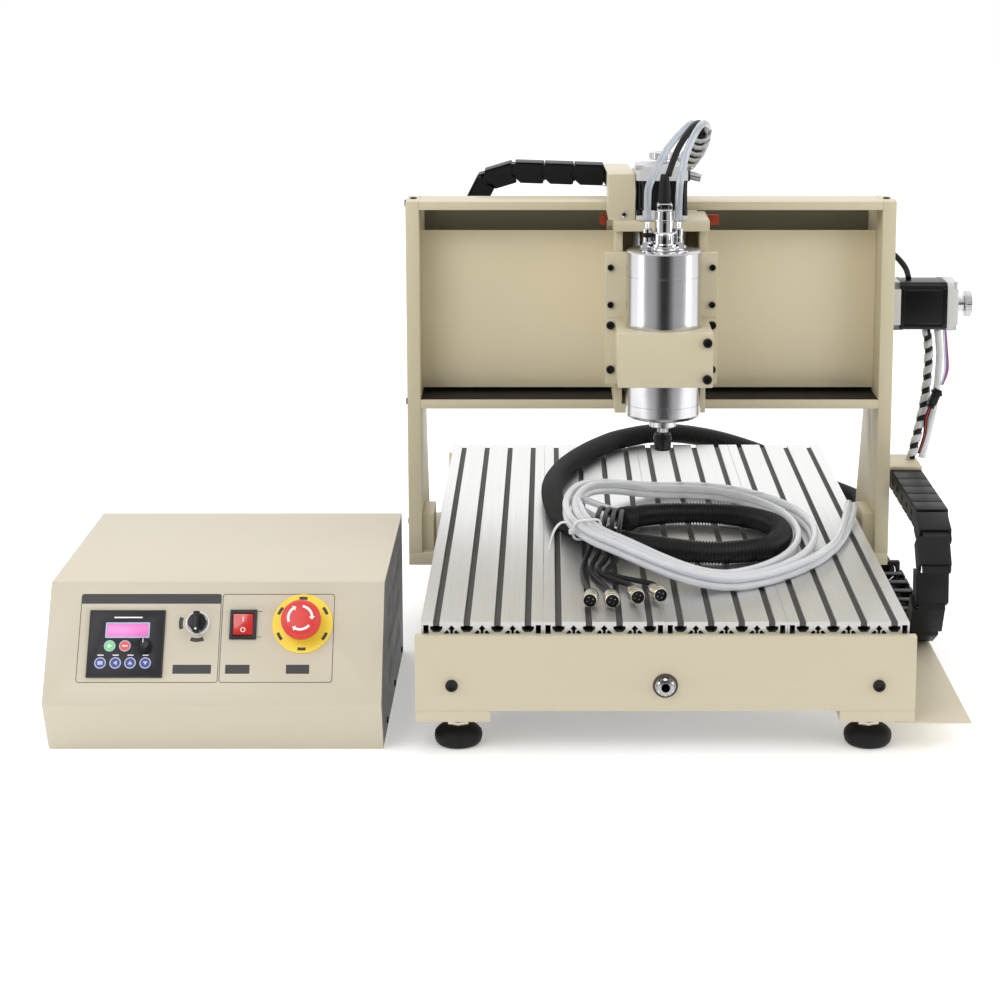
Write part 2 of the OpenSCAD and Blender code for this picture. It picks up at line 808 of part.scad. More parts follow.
module z_carriage_plate() {
    color(gantry_beige) translate([carriage_x, 0, 0])
    difference() {
        union() {
            block([-z_plate_w / 2, zp_back - zp_low_t, zp_z[0]], [z_plate_w / 2, zp_back, zp_z[1]]);
            block([-z_plate_w / 2, zp_back - zp_high_t, zp_z[1]], [z_plate_w / 2, zp_back, zp_z[2]]);
            block([-zc_hw, zp_back, zc_block[0]], [zc_hw, zc_back, zc_block[1]]);
        }
        mirror_x() rod_z([z_rail_x, z_rail_y, zc_block[0] - 1],
                         z_rail_d + 2 * run_gap, zc_block[1] - zc_block[0] + 2);
        rod_z([0, z_axis_y, zc_block[0] - 1], z_screw_d + 2 * run_gap,
              zc_block[1] - zc_block[0] + 2);
    }
}

module spindle_clamp() {
    hw = clamp_w / 2;
    color(gantry_beige) translate([carriage_x, 0, 0])
    difference() {
        block([-hw, clamp_front, clamp_z[0]], [hw, zp_back - zp_low_t, clamp_z[1]]);
        rod_z([0, spindle_y, clamp_z[0] - 1], spindle_d, clamp_z[1] - clamp_z[0] + 2);
        block([0, spindle_y - clamp_slit / 2, clamp_z[0] - 1],
              [hw + 1, spindle_y + clamp_slit / 2, clamp_z[1] + 1]);
    }
}

module spindle_body() {
    color(steel) translate([carriage_x, spindle_y, 0])
    difference() {
        rotate_extrude() polygon([
            [0, spindle_z0 - nose_l], [nose_d / 2 - 1, spindle_z0 - nose_l],
            [nose_d / 2, spindle_z0 - nose_l + 1], [nose_d / 2, spindle_z0],
            [spindle_d / 2 - 4, spindle_z0], [spindle_d / 2, spindle_z0 + 4],
            [spindle_d / 2, spindle_z1 - 27.6], [spindle_d / 2 - 0.6, spindle_z1 - 27.6],
            [spindle_d / 2 - 0.6, spindle_z1 - 27], [spindle_d / 2, spindle_z1 - 27],
            [spindle_d / 2, spindle_z1 - 1.5], [spindle_d / 2 - 1.5, spindle_z1], [0, spindle_z1]
        ]);
        rod_z([0, 0, spindle_z0 - nose_l - 1], rotor_d + 2 * run_gap,
              rotor_top + 1 - spindle_z0 + nose_l + 1);
    }
}

module spindle_shaft() {
    color(steel) translate([carriage_x, spindle_y, 0])
    difference() {
        rod_z([0, 0, nut_z[0] + 3], rotor_d, rotor_top - nut_z[0] - 3);
        rod_z([0, 0, nut_z[0] + 2], collet_d, 26);
    }
}

module collet_nut() {
    color(black) translate([carriage_x, spindle_y, nut_z[0]])
    difference() {
        union() {
            cylinder(d = nut_d, h = nut_z[1] - nut_z[0] - 3);
            translate([0, 0, 5]) cylinder(d = nut_d + 1.6, h = 9, $fn = 6);
            translate([0, 0, nut_z[1] - nut_z[0] - 3]) cylinder(d = nut_d - 2, h = 3);
        }
        translate([0, 0, -1]) cylinder(d = collet_d, h = 6);
        translate([0, 0, 3]) cylinder(d = rotor_d, h = nut_z[1] - nut_z[0]);
    }
}

fitting_x = [-18, 15];

module spindle_fittings() {
    color("silver") translate([carriage_x, spindle_y, spindle_z1]) {
        cylinder(d = 34, h = 7);
        translate([0, 0, 7]) cylinder(d = 25, h = 12);
        translate([0, 0, 19]) cylinder(d = 21, h = 23);
        translate([-8, -10, 42]) cube([16, 9, 8]);
        translate([-8, 1, 42]) cube([16, 9, 8]);
        translate([-4, -4, 42]) cube([8, 8, 8]);
        for (x = fitting_x) translate([x, -2, 0]) {
            cylinder(d = 11, h = 9);
            translate([0, 0, 9]) cylinder(d = 9.4, h = 14);
            translate([0, 0, 23]) cylinder(d = 6, h = 8);
        }
    }
}

module head_screws() {
    plate_x = z_plate_w / 2 - 5.6;
    color(black) translate([carriage_x, 0, 0]) {
        for (z = [16, 65]) mirror_x()
            translate([plate_x, zp_back - zp_low_t, zp_z[0] + z]) rotate([90, 0, 0])
                screw_head(9, 3);
        for (z = [15, 56]) mirror_x()
            translate([plate_x, zp_back - zp_high_t, zp_z[1] + z]) rotate([90, 0, 0])
                screw_head(7, 3);
        for (z = [9, 48]) translate([clamp_w / 2 - 6, clamp_front, clamp_z[0] + z])
            rotate([90, 0, 0]) screw_head(10, 4);
    }
}

// A line beside another one, its sideways offset going from one to the other once it
// has passed the first few points
function beside(line, from, to, keep = 4) =
    let (t = directions(line), s = carried(t, [unit(cross(t[0], [1, 0, 0]))]), n = len(line))
    [for (i = [0 : n - 1])
        let (k = max(0, min(1, 4 * (i - keep) / n)), o = from + (to - from) * k)
        line[i] + o[0] * s[i] + o[1] * cross(t[i], s[i])];

module hose_bundle() {
    mid = smooth_line(hose_mid, 3);
    color("white") {
        swept_tube(beside(mid, [0, -fitting_x[0]], [0, hose_apart]), hose_r, 8);
        swept_tube(beside(mid, [0, -fitting_x[1]], [0, -hose_apart]), hose_r, 8);
    }
    color(black)
        swept_tube([for (i = [cable_from : len(mid) - 1]) mid[i]], hose_r - 0.5, 8);
}

// ---------- control box ----------

// Sits children on the sloping panel: x along it, y up it, z out of it
module on_panel(at = [0, 0]) {
    translate([box_x0, box_knee[0], box_knee[1]]) rotate([panel_tilt, 0, 0])
        translate([at[0], at[1], 0]) children();
}

function box_outline(t) = [
    [box_foot_y + t, 0], [box_knee[0] + t * 1.1, box_knee[1] + t * 0.3],
    [box_slope_y + t * 0.6, box_h - t], [box_back_y, box_h - t], [box_back_y, 0]
];

module vent_slots(x) {
    for (row = [0 : 2]) for (i = [0 : 11])
        translate([x, box_back_y - 60 - i * 15, 36 + row * 36]) rotate([25, 0, 0])
            translate([-3, -2, 0]) cube([6, 4, 22]);
}

module controller_shell() {
    color(beige)
    difference() {
        side_shape(box_x0, box_x1) polygon(box_outline(0));
        side_shape(box_x0 + sheet_t, box_x1 - sheet_t) polygon(box_outline(sheet_t));
        block([box_x0 + sheet_t, box_back_y - 2, -1],
              [box_x1 - sheet_t, box_back_y + 1, box_h - sheet_t]);
        block([box_x0 + sheet_t, box_foot_y + 3, -1], [box_x1 - sheet_t, box_back_y + 1, 2]);
        vent_slots(box_x0);
        vent_slots(box_x1);
        on_panel() translate([keypad_box[0][0] + 1, keypad_box[0][1] + 1, -panel_cut])
            cube([keypad_box[1][0] - keypad_box[0][0] - 2,
                  keypad_box[1][1] - keypad_box[0][1] - 2, 2 * panel_cut]);
        on_panel(selector_at) translate([0, 0, -panel_cut]) cylinder(d = 16, h = 2 * panel_cut);
        on_panel() translate([rocker_box[0][0] + 2, rocker_box[0][1] + 2, -panel_cut])
            cube([rocker_box[1][0] - rocker_box[0][0] - 4,
                  rocker_box[1][1] - rocker_box[0][1] - 4, 2 * panel_cut]);
        on_panel(stop_at) translate([0, 0, -panel_cut]) cylinder(d = stop_stem_d + 4, h = 2 * panel_cut);
    }
}

module controller_chassis() {
    inset = sheet_t + 0.3;
    back = box_back_y - 2;
    color(grey_metal)
    difference() {
        union() {
            block([box_x0 + inset, box_foot_y + 8, 0], [box_x1 - inset, back, 1.5]);
            block([box_x0 + inset, back - sheet_t, 0], [box_x1 - inset, back, box_h - inset]);
            block([box_x0 + inlet_box[0][0] - 4, back - 20, inlet_box[0][1] - 4],
                  [box_x0 + inlet_box[1][0] + 4, back, inlet_box[1][1] + 4]);
            block([box_x0 + 150, back - 150, 1.5], [box_x0 + 260, back - 60, 60]);
        }
        block([box_x0 + inlet_box[0][0], back - 18, inlet_box[0][1]],
              [box_x0 + inlet_box[1][0], back + 1, inlet_box[1][1]]);
        for (i = [0 : 6]) block([box_x0 + fan_x[0], back - sheet_t - 1, 40 + i * 8],
                                [box_x0 + fan_x[1], back + 1, 44 + i * 8]);
        for (i = [0 : socket_count - 1])
            rod_y([box_x0 + socket_x + i * socket_pitch, back - 20, socket_z], plug_d, 30);
    }
}

module drive_keypad() {
    low = keypad_box[0];
    high = keypad_box[1];
    color(black) on_panel()
    difference() {
        union() {
            translate([low[0], low[1], 0]) cube([high[0] - low[0], high[1] - low[1], 2]);
            translate([low[0] + 1.5, low[1] + 1.5, -30])
                cube([high[0] - low[0] - 3, high[1] - low[1] - 3, 30]);
        }
        translate([display_box[0][0], display_box[0][1], 0.6])
            cube([display_box[1][0] - display_box[0][0], display_box[1][1] - display_box[0][1], 3]);
        translate([speed_at[0], speed_at[1], -4]) cylinder(d = 6 + 2 * run_gap, h = 10);
    }
}

module drive_display() {
    color("hotpink") on_panel()
    translate([display_box[0][0], display_box[0][1], 0.6])
        cube([display_box[1][0] - display_box[0][0], display_box[1][1] - display_box[0][1], 1.2]);
}

module selector_ring() {
    color("silver") on_panel(selector_at)
    difference() {
        union() {
            cylinder(d = 24, h = 3);
            translate([0, 0, -24]) cylinder(d = 16, h = 24);
        }
        translate([0, 0, -8]) cylinder(d = 12 + 2 * run_gap, h = 20);
    }
}

module rocker_frame() {
    low = rocker_box[0];
    high = rocker_box[1];
    color(black) on_panel()
    difference() {
        union() {
            translate([low[0], low[1], 0]) cube([high[0] - low[0], high[1] - low[1], 2]);
            translate([low[0] + 2, low[1] + 2, -20])
                cube([high[0] - low[0] - 4, high[1] - low[1] - 4, 20]);
        }
        translate([low[0] + 3.2, low[1] + 3.5, -14])
            cube([high[0] - low[0] - 6.4, high[1] - low[1] - 7, 20]);
        rod_x([low[0] + 2.1, (low[1] + high[1]) / 2, 0], rocker_pin_d + 2 * run_gap,
              high[0] - low[0] - 4.2);
    }
}

module estop_disc() {
    color("gold") on_panel(stop_at)
    difference() {
        union() {
            cylinder(d = stop_disc_d, h = 1.2);
            translate([0, 0, 1.2]) cylinder(d = stop_stem_d + 8, h = 3);
            translate([0, 0, -26]) cylinder(d = stop_stem_d + 4, h = 26);
        }
        translate([0, 0, -20]) cylinder(d = stop_stem_d + 2 * run_gap, h = 40);
    }
}

module controller_sockets() {
    color("silver")
    for (i = [0 : socket_count - 1])
        translate([box_x0 + socket_x + i * socket_pitch, box_back_y - 2, socket_z])
            rotate([-90, 0, 0])
            difference() {
                union() {
                    translate([0, 0, -14]) cylinder(d = plug_d, h = 20);
                    cylinder(d = plug_d + 4, h = 2);
                }
                cylinder(d = plug_d - 3, h = 10);
            }
}

module speed_knob() {
    color(black) on_panel(speed_at) {
        translate([0, 0, 2.3]) cylinder(d1 = 14, d2 = 12, h = 9);
        translate([0, 0, -3]) cylinder(d = 6, h = 6);
    }
}

module selector_knob() {
    color(black) on_panel(selector_at) {
        translate([0, 0, 3.3]) cylinder(d = 18, h = 5);
        translate([-3.5, -12.5, 5]) cube([7, 22, 9]);
        translate([0, 0, -6]) cylinder(d = 12, h = 10);
    }
}

rocker_tip = 8;
rocker_pin_d = 2.4;

module power_rocker() {
    w = rocker_box[1][0] - rocker_box[0][0] - 7;
    h = rocker_box[1][1] - rocker_box[0][1] - 9;
    mid = (rocker_box[0] + rocker_box[1]) / 2;
    color("red") on_panel(mid) translate([-w / 2, 0, 0]) rotate([rocker_tip, 0, 0])
        side_shape(0, w) polygon([
            [-h / 2, 3.4], [0, 2], [h / 2, 3.4], [h / 2 - 1, -3], [0, -6], [-h / 2 + 1, -3]
        ]);
    color("red") on_panel(mid) rod_x([-w / 2 - 0.9, 0, 0], rocker_pin_d, w + 1.8);
}

module estop_button() {
    color("red") on_panel(stop_at) rotate_extrude() polygon([
        [0, -14], [stop_stem_d / 2, -14], [stop_stem_d / 2, 10], [stop_d / 2 - 1, 11],
        [stop_d / 2, 13], [stop_d / 2, 20], [stop_d / 2 - 2, 23], [stop_d / 2 - 6, 24.5],
        [0, 25]
    ]);
}

// ---------- free cords ----------

module conduit() {
    color(black) swept_tube(smooth_line(conduit_route, 2), conduit_d / 2, 12);
}

function lead_line(i) = smooth_line([
    lead_starts[i], [-54 + 7 * i, -64 - 5 * i, 165], [-60 + 8 * i, -102 - 6 * i, 168.5],
    [-63 + 8 * i, -131 - 11 * i, 165], [-70 + 9 * i, -162 - 14 * i, 146],
    [-79 + 9 * i, -222 - 4 * i, 138.5],
    plug_at[i] + [-2, 45, -5], plug_at[i] + plug_back(i)], 3);

function plug_back(i) = [-sin(plug_turn[i]), cos(plug_turn[i]), 0] * (plug_l / 2 + 0.8);

module connector_leads() {
    color(black) for (i = [0 : len(plug_at) - 1])
        swept_tube(lead_line(i), lead_d / 2, 8);
}

module aviation_plugs() {
    color("silver") for (i = [0 : len(plug_at) - 1])
        translate(plug_at[i]) rotate([0, 0, plug_turn[i]]) rotate([90, 0, 0])
            translate([0, 0, -plug_l / 2]) difference() {
                union() {
                    cylinder(d = plug_d - 5, h = 8);
                    translate([0, 0, 8]) cylinder(d = plug_d - 1.5, h = plug_l - 18);
                    translate([0, 0, plug_l - 14]) cylinder(d = plug_d, h = 14);
                }
                translate([0, 0, plug_l - 7]) cylinder(d = plug_d - 3, h = 10);
            }
}

function oval(a, b, n = 48) = [for (k = [0 : n - 1]) [a * cos(360 * k / n), b * sin(360 * k / n)]];

module water_tubes() {
    color("white") {
        translate([coil_at[0], coil_at[1], coil_z]) rotate([0, coil_tilt, 0])
            linear_extrude(coil_h) difference() {
                polygon(oval(coil_out[0], coil_out[1]));
                polygon(oval(coil_out[0] - coil_w, coil_out[1] - coil_w));
            }
        swept_tube(smooth_line(tube_tail, 3), tube_d, 10);
    }
}

// ---------- what is drawn ----------

at_origin() front_plate();
at_origin() back_plate();
at_origin() table_extrusions();
at_origin() y_guide_rails();
at_origin() frame_screws();
at_origin() foot_plates();
at_origin() leveling_feet();
at_origin() chain_tray();
at_origin() y_motor();
at_origin() y_drag_chain();
at_origin() y_ball_screw();
at_origin() y_handwheel();
at_origin() side_plate_left();
at_origin() side_plate_right();
at_origin() lower_cross_plate();
at_origin() y_bearing_blocks();
at_origin() beam_top_plate();
at_origin() beam_bottom_plate();
at_origin() dust_panel();
at_origin() rear_cover();
at_origin() x_guide_rails();
at_origin() x_motor();
at_origin() y_chain_bracket();
at_origin() x_drag_chain();
at_origin() x_cable_bundle();
at_origin() gantry_screws();
at_origin() x_ball_screw();
at_origin() x_handwheel();
at_origin() x_carriage();
at_origin() z_frame();
at_origin() z_top_cap();
at_origin() z_guide_rails();
at_origin() z_motor();
at_origin() x_chain_bracket();
at_origin() z_ball_screw();
at_origin() z_handwheel();
at_origin() z_carriage_plate();
at_origin() spindle_clamp();
at_origin() spindle_body();
at_origin() spindle_fittings();
at_origin() head_screws();
at_origin() hose_bundle();
at_origin() spindle_shaft();
at_origin() collet_nut();
at_origin() controller_shell();
at_origin() controller_chassis();
at_origin() drive_keypad();
at_origin() drive_display();
at_origin() selector_ring();
at_origin() rocker_frame();
at_origin() estop_disc();
at_origin() controller_sockets();
at_origin() speed_knob();
at_origin() selector_knob();
at_origin() power_rocker();
at_origin() estop_button();
at_origin() conduit();
at_origin() connector_leads();
at_origin() aviation_plugs();
at_origin() water_tubes();
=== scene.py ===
"""Desktop gantry router with its control box: the finish, the small pieces and the free cords.

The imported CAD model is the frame. Operators add or refine the pieces around it, and the panel
in the 3D view's sidebar lists them. Places are given in millimetres from the machine's own
origin: X to the right, Y to the back, Z up, with the gantry's front face at Y = 0.
"""

import json
import math
from contextlib import contextmanager

import bpy
import numpy as np
from mathutils import Matrix, Vector

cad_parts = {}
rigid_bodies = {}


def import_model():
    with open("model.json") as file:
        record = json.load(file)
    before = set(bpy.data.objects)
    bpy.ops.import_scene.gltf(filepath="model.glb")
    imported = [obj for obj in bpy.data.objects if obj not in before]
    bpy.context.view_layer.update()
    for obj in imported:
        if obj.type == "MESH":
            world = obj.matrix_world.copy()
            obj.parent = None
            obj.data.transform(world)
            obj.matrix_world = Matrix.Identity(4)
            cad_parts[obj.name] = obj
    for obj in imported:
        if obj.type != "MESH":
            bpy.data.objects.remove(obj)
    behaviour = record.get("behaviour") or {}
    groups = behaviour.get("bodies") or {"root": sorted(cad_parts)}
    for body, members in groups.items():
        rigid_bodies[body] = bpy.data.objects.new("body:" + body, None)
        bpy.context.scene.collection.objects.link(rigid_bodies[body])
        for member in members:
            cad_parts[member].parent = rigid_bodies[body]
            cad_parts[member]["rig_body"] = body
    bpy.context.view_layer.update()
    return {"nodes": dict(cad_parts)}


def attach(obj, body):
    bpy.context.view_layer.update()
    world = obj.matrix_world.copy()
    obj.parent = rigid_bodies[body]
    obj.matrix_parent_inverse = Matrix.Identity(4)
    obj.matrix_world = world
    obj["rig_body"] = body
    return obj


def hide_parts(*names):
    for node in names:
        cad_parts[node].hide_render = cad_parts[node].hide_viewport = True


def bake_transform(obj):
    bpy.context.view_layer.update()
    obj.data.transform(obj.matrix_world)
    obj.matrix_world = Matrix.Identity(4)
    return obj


bl_info = {
    "name": "Desktop Gantry Router",
    "version": (1, 0, 0),
    "blender": (4, 5, 0),
    "location": "View3D > Sidebar > Router",
    "description": "Finishes, fastenings, chains, hoses and control panel of a desktop router",
    "category": "Object",
}

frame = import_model()

# The machine's own origin in the row frame, in metres
ORIGIN = Vector((0.11675, -0.0475, 0.0))
FINISHES = {}


def linear(red, green, blue):
    """A colour given on a screen's scale, from 0 to 255, as scene-linear values."""
    return [
        c / 12.92 if c <= 0.04045 else ((c + 0.055) / 1.055) ** 2.4
        for c in (red / 255, green / 255, blue / 255)
    ]


def at(x, y, z):
    """A place in the row frame, in metres, from millimetres on the machine."""
    return Vector((x, y, z)) / 1000 + ORIGIN


# ---------------------------------------------------------------- settings


def colour_setting(name, text, red, green, blue):
    return bpy.props.FloatVectorProperty(
        name=name,
        description=text,
        subtype="COLOR",
        size=3,
        min=0,
        max=1,
        default=linear(red, green, blue),
    )


def length_setting(name, text, millimetres):
    return bpy.props.FloatProperty(
        name=name,
        description=text,
        subtype="DISTANCE",
        unit="LENGTH",
        min=0.00005,
        max=0.2,
        precision=4,
        default=millimetres / 1000,
    )


class RouterColours(bpy.types.PropertyGroup):
    frame_paint: colour_setting("Frame paint", "Powder coat of the base and feet", 201, 191, 167)
    gantry_paint: colour_setting("Gantry paint", "Coat of the gantry and head", 207, 197, 168)
    panel_paint: colour_setting("Panel paint", "Powder coat of the dust panel", 238, 226, 194)
    # The box's sides get a darker grey than the box: painted shade for the shade that falls on them
    side_shade_paint: colour_setting("Side shade paint", "Darker grey of the control box's sides, painted shade", 122, 122, 124)
    box_paint: colour_setting("Box paint", "Powder coat of the control box", 202, 194, 174)
    table: colour_setting("Table", "Sawn and brushed aluminium of the table", 226, 226, 225)
    plastic: colour_setting("Chain plastic", "Black nylon of the drag chains", 22, 22, 23)
    rubber: colour_setting("Rubber", "Black rubber of the feet and the conduit", 20, 20, 21)
    oxide: colour_setting("Black oxide", "Blackened steel of the socket screws", 22, 22, 24)
    tube: colour_setting("Water tube", "Milky clear plastic of the water tubes", 244, 246, 250)
    display: colour_setting("Display", "Lit window of the spindle drive", 232, 124, 196)
    stop: colour_setting("Stop red", "Button of the emergency stop", 214, 62, 58)
    plate: colour_setting("Stop yellow", "Plate under the emergency stop", 245, 218, 66)


class RouterSizes(bpy.types.PropertyGroup):
    edge: length_setting("Edge", "Broken edge of the painted plates", 0.7)
    rib: length_setting("Rib pitch", "Distance from rib to rib on the conduit", 3.4)
    tube: length_setting("Tube", "Outside diameter of the water tubes", 8)
    lead: length_setting("Lead", "Outside diameter of the connector leads", 5.6)
    conduit: length_setting("Conduit", "Outside diameter of the corrugated conduit", 25)


# ---------------------------------------------------------------- modelling


def clear():
    """Object mode with nothing selected."""
    if bpy.context.object and bpy.context.object.mode != "OBJECT":
        bpy.ops.object.mode_set(mode="OBJECT")
    bpy.ops.object.select_all(action="DESELECT")


def only(*pieces):
    clear()
    for piece in pieces:
        piece.select_set(True)
    bpy.context.view_layer.objects.active = pieces[0]


@contextmanager
def editing(piece, action="SELECT"):
    """Edit mode on one piece, all of it selected unless told otherwise."""
    only(piece)
    bpy.ops.object.mode_set(mode="EDIT")
    bpy.ops.mesh.select_mode(type="FACE")
    bpy.ops.mesh.select_all(action=action)
    yield
    bpy.ops.object.mode_set(mode="OBJECT")


@contextmanager
def editing_faces(piece, test):
    """Edit mode with only those faces selected whose middle and normal pass the test."""
    with editing(piece, "DESELECT"):
        bpy.ops.object.mode_set(mode="OBJECT")
        for face in piece.data.polygons:
            face.select = test(face.center, face.normal)
        bpy.ops.object.mode_set(mode="EDIT")
        yield


def named(name):
    piece = bpy.context.object
    piece.name = piece.data.name = name
    return piece


def block(name, low, high, edge=0.0, segments=2):
    """A block between two corners in millimetres, its edges broken by `edge`."""
    clear()
    bpy.ops.mesh.primitive_cube_add(
        size=1,
        location=[(a + b) / 2000 for a, b in zip(low, high)],
        scale=[(b - a) / 1000 for a, b in zip(low, high)],
    )
    bpy.ops.object.transform_apply(location=True, rotation=True, scale=True)
    piece = named(name)
    if edge:
        bevelled(piece, edge, segments)
    return piece


def bevelled(piece, width, segments=2, angle=30):
    """Breaks the sharp edges, width in millimetres."""
    only(piece)
    bevel = piece.modifiers.new("Broken edges", "BEVEL")
    bevel.width = width / 1000
    bevel.segments = segments
    bevel.limit_method = "ANGLE"
    bevel.angle_limit = math.radians(angle)
    bpy.ops.object.modifier_apply(modifier=bevel.name)
    return piece


def turned(name, rings, sides=40):
    """A round solid along Z: a disc extruded from ring to ring of (radius, height) in mm."""
    clear()
    radius, height = rings[0]
    bpy.ops.mesh.primitive_circle_add(
        vertices=sides, radius=radius / 1000, fill_type="NGON", location=(0, 0, height / 1000)
    )
    bpy.ops.object.transform_apply(location=True, rotation=True, scale=True)
    piece = named(name)
    with editing(piece):
        for (r0, h0), (r1, h1) in zip(rings, rings[1:]):
            bpy.ops.mesh.extrude_region_move(
                TRANSFORM_OT_translate={"value": (0, 0, (h1 - h0) / 1000)}
            )
            if abs(r1 - r0) > 1e-6:
                bpy.ops.transform.resize(
                    value=(r1 / r0, r1 / r0, 1), center_override=(0, 0, h1 / 1000)
                )
        bpy.ops.mesh.select_all(action="SELECT")
        bpy.ops.mesh.normals_make_consistent(inside=False)
    return piece


def sheet_cut(name, outlines, thickness):
    """A flat sheet in XY, middle at Z = 0, cut to the first outline, the others being holes."""
    curve = bpy.data.curves.new(name, "CURVE")
    curve.dimensions = "2D"
    curve.fill_mode = "BOTH"
    curve.extrude = thickness / 2000
    for outline in outlines:
        spline = curve.splines.new("POLY")
        spline.points.add(len(outline) - 1)
        for point, (x, y) in zip(spline.points, outline):
            point.co = (x / 1000, y / 1000, 0, 1)
        spline.use_cyclic_u = True
    piece = bpy.data.objects.new(name, curve)
    bpy.context.scene.collection.objects.link(piece)
    only(piece)
    bpy.ops.object.convert(target="MESH")
    piece = named(name)
    with editing(piece):
        bpy.ops.mesh.remove_doubles(threshold=1e-6)
        bpy.ops.mesh.normals_make_consistent(inside=False)
    return piece


def cut(piece, *cutters):
    """Takes the cutters out of the piece, and removes them."""
    for cutter in cutters:
        only(piece)
        boolean = piece.modifiers.new("Cut", "BOOLEAN")
        boolean.operation = "DIFFERENCE"
        boolean.solver = "EXACT"
        boolean.object = cutter
        bpy.ops.object.modifier_apply(modifier=boolean.name)
        bpy.data.objects.remove(cutter)
    return piece


def joined(name, *pieces):
    only(*pieces)
    bpy.ops.object.join()
    return named(name)


def copies(piece, places):
    """The piece repeated at each place, every copy with its own mesh, as one object."""
    made = []
    for place in places:
        copy = piece.copy()
        copy.data = piece.data.copy()
        copy.matrix_world = place
        bpy.context.scene.collection.objects.link(copy)
        made.append(copy)
    name = piece.name
    bpy.data.objects.remove(piece)
    only(*made)
    bpy.ops.object.transform_apply(location=True, rotation=True, scale=True)
    return joined(name, *made)


def facing(place, out, up=(0, 0, 1)):
    """A placing matrix, place in millimetres: Z turns to `out` and Y leans towards `up`."""
    z = Vector(out).normalized()
    side = Vector(up).cross(z)
    x = (side if side.length > 1e-6 else Vector((1, 0, 0))).normalized()
    turn = Matrix((x, z.cross(x), z)).transposed().to_4x4()
    return Matrix.Translation(Vector(place) / 1000) @ turn


def placed(piece, place):
    only(piece)
    piece.matrix_world = place @ piece.matrix_world
    bpy.ops.object.transform_apply(location=True, rotation=True, scale=True)
    return piece


def finished(piece, body, finish, stands_for=(), smooth=32):
    """Puts a piece in the row frame, smooths it, and gives it its finish and its body."""
    only(piece)
    piece.matrix_world = Matrix.Translation(ORIGIN) @ piece.matrix_world
    bpy.ops.object.transform_apply(location=True, rotation=True, scale=True)
    if smooth:
        bpy.ops.object.shade_smooth_by_angle(angle=math.radians(smooth))
    return dressed(piece, body, finish, stands_for)


def dressed(piece, body, finish, stands_for=()):
    material, slot = FINISHES[finish]
    piece.data.materials.clear()
    piece.data.materials.append(material)
    if isinstance(body, str):
        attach(piece, body)
    if stands_for:
        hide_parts(*([stands_for] if isinstance(stands_for, str) else stands_for))
    return piece


def softened(node, finish, edge=None, smooth=32, name=None):
    """A CAD node's shape as a new piece, merged, with its sharp edges broken."""
    source = frame["nodes"][node]
    piece = bpy.data.objects.new(name or node + "_finished", source.data.copy())
    bpy.context.scene.collection.objects.link(piece)
    only(piece)
    bpy.ops.mesh.customdata_custom_splitnormals_clear()
    with editing(piece):
        bpy.ops.mesh.remove_doubles(threshold=1e-6)
        bpy.ops.mesh.dissolve_limited(angle_limit=math.radians(0.5))
    if edge is None:
        edge = bpy.context.scene.router_sizes.edge * 1000
    if edge:
        bevelled(piece, edge)
    only(piece)
    bpy.ops.object.shade_smooth_by_angle(angle=math.radians(smooth))
    return dressed(piece, source["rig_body"], finish, node)


# ---------------------------------------------------------------- lines that cords follow


def smooth_line(points, spacing):
    """A smooth line through the points, resampled evenly, in millimetres."""
    p = np.array(points, float)
    ends = np.vstack([p[0], p, p[-1]])
    t = np.linspace(0, 1, 24, endpoint=False)[:, None]
    parts = []
    for a, b, c, d in zip(ends, ends[1:], ends[2:], ends[3:]):
        parts.append(
            0.5 * (2 * b + (c - a) * t + (2 * a - 5 * b + 4 * c - d) * t**2
                   + (3 * b - a - 3 * c + d) * t**3)
        )
    return even(np.vstack([*parts, p[-1:]]), spacing)


def length_of(line):
    return float(np.linalg.norm(np.diff(line, axis=0), axis=1).sum())


def even(line, spacing):
    """The same line with points at an even distance."""
    s = np.concatenate([[0], np.cumsum(np.linalg.norm(np.diff(line, axis=0), axis=1))])
    count = max(2, int(round(s[-1] / spacing)) + 1)
    to = np.linspace(0, s[-1], count)
    return np.stack([np.interp(to, s, line[:, i]) for i in range(3)], axis=1)


def sides_of(line):
    """Two side vectors at each point, carried along the line without twist."""
    ahead = np.gradient(line, axis=0)
    ahead /= np.linalg.norm(ahead, axis=1)[:, None]
    helper = np.array([0, 0, 1.0]) if abs(ahead[0][2]) < 0.9 else np.array([1.0, 0, 0])
    side = np.cross(ahead[0], helper)
    first = []
    for a in ahead:
        side = side - a * (side @ a)
        side = side / np.linalg.norm(side)
        first.append(side)
    first = np.array(first)
    return first, np.cross(ahead, first)


def cord_mesh(name, vertices, faces):
    """A soft piece from its rings of points, in millimetres on the machine."""
    mesh = bpy.data.meshes.new(name)
    mesh.from_pydata([tuple(at(*v)) for v in vertices], [], faces)
    piece = bpy.data.objects.new(name, mesh)
    bpy.context.scene.collection.objects.link(piece)
    only(piece)
    bpy.ops.object.shade_smooth()
    return piece


def swept(name, line, radii, sides=16):
    """A closed tube along a line, with one radius for each point or one for all."""
    line = np.asarray(line, float)
    radii = np.broadcast_to(radii, len(line))
    first, second = sides_of(line)
    turn = np.arange(sides) * 2 * math.pi / sides
    ring = first[:, None] * np.cos(turn)[None, :, None] + second[:, None] * np.sin(turn)[None, :,
                                                                                         None]
    points = (line[:, None] + ring * radii[:, None, None]).reshape(-1, 3)
    last = (len(line) - 1) * sides
    faces = [
        (i + k, i + (k + 1) % sides, i + sides + (k + 1) % sides, i + sides + k)
        for i in range(0, last, sides)
        for k in range(sides)
    ]
    faces.append(tuple(reversed(range(sides))))
    faces.append(tuple(last + k for k in range(sides)))
    return cord_mesh(name, points, faces)


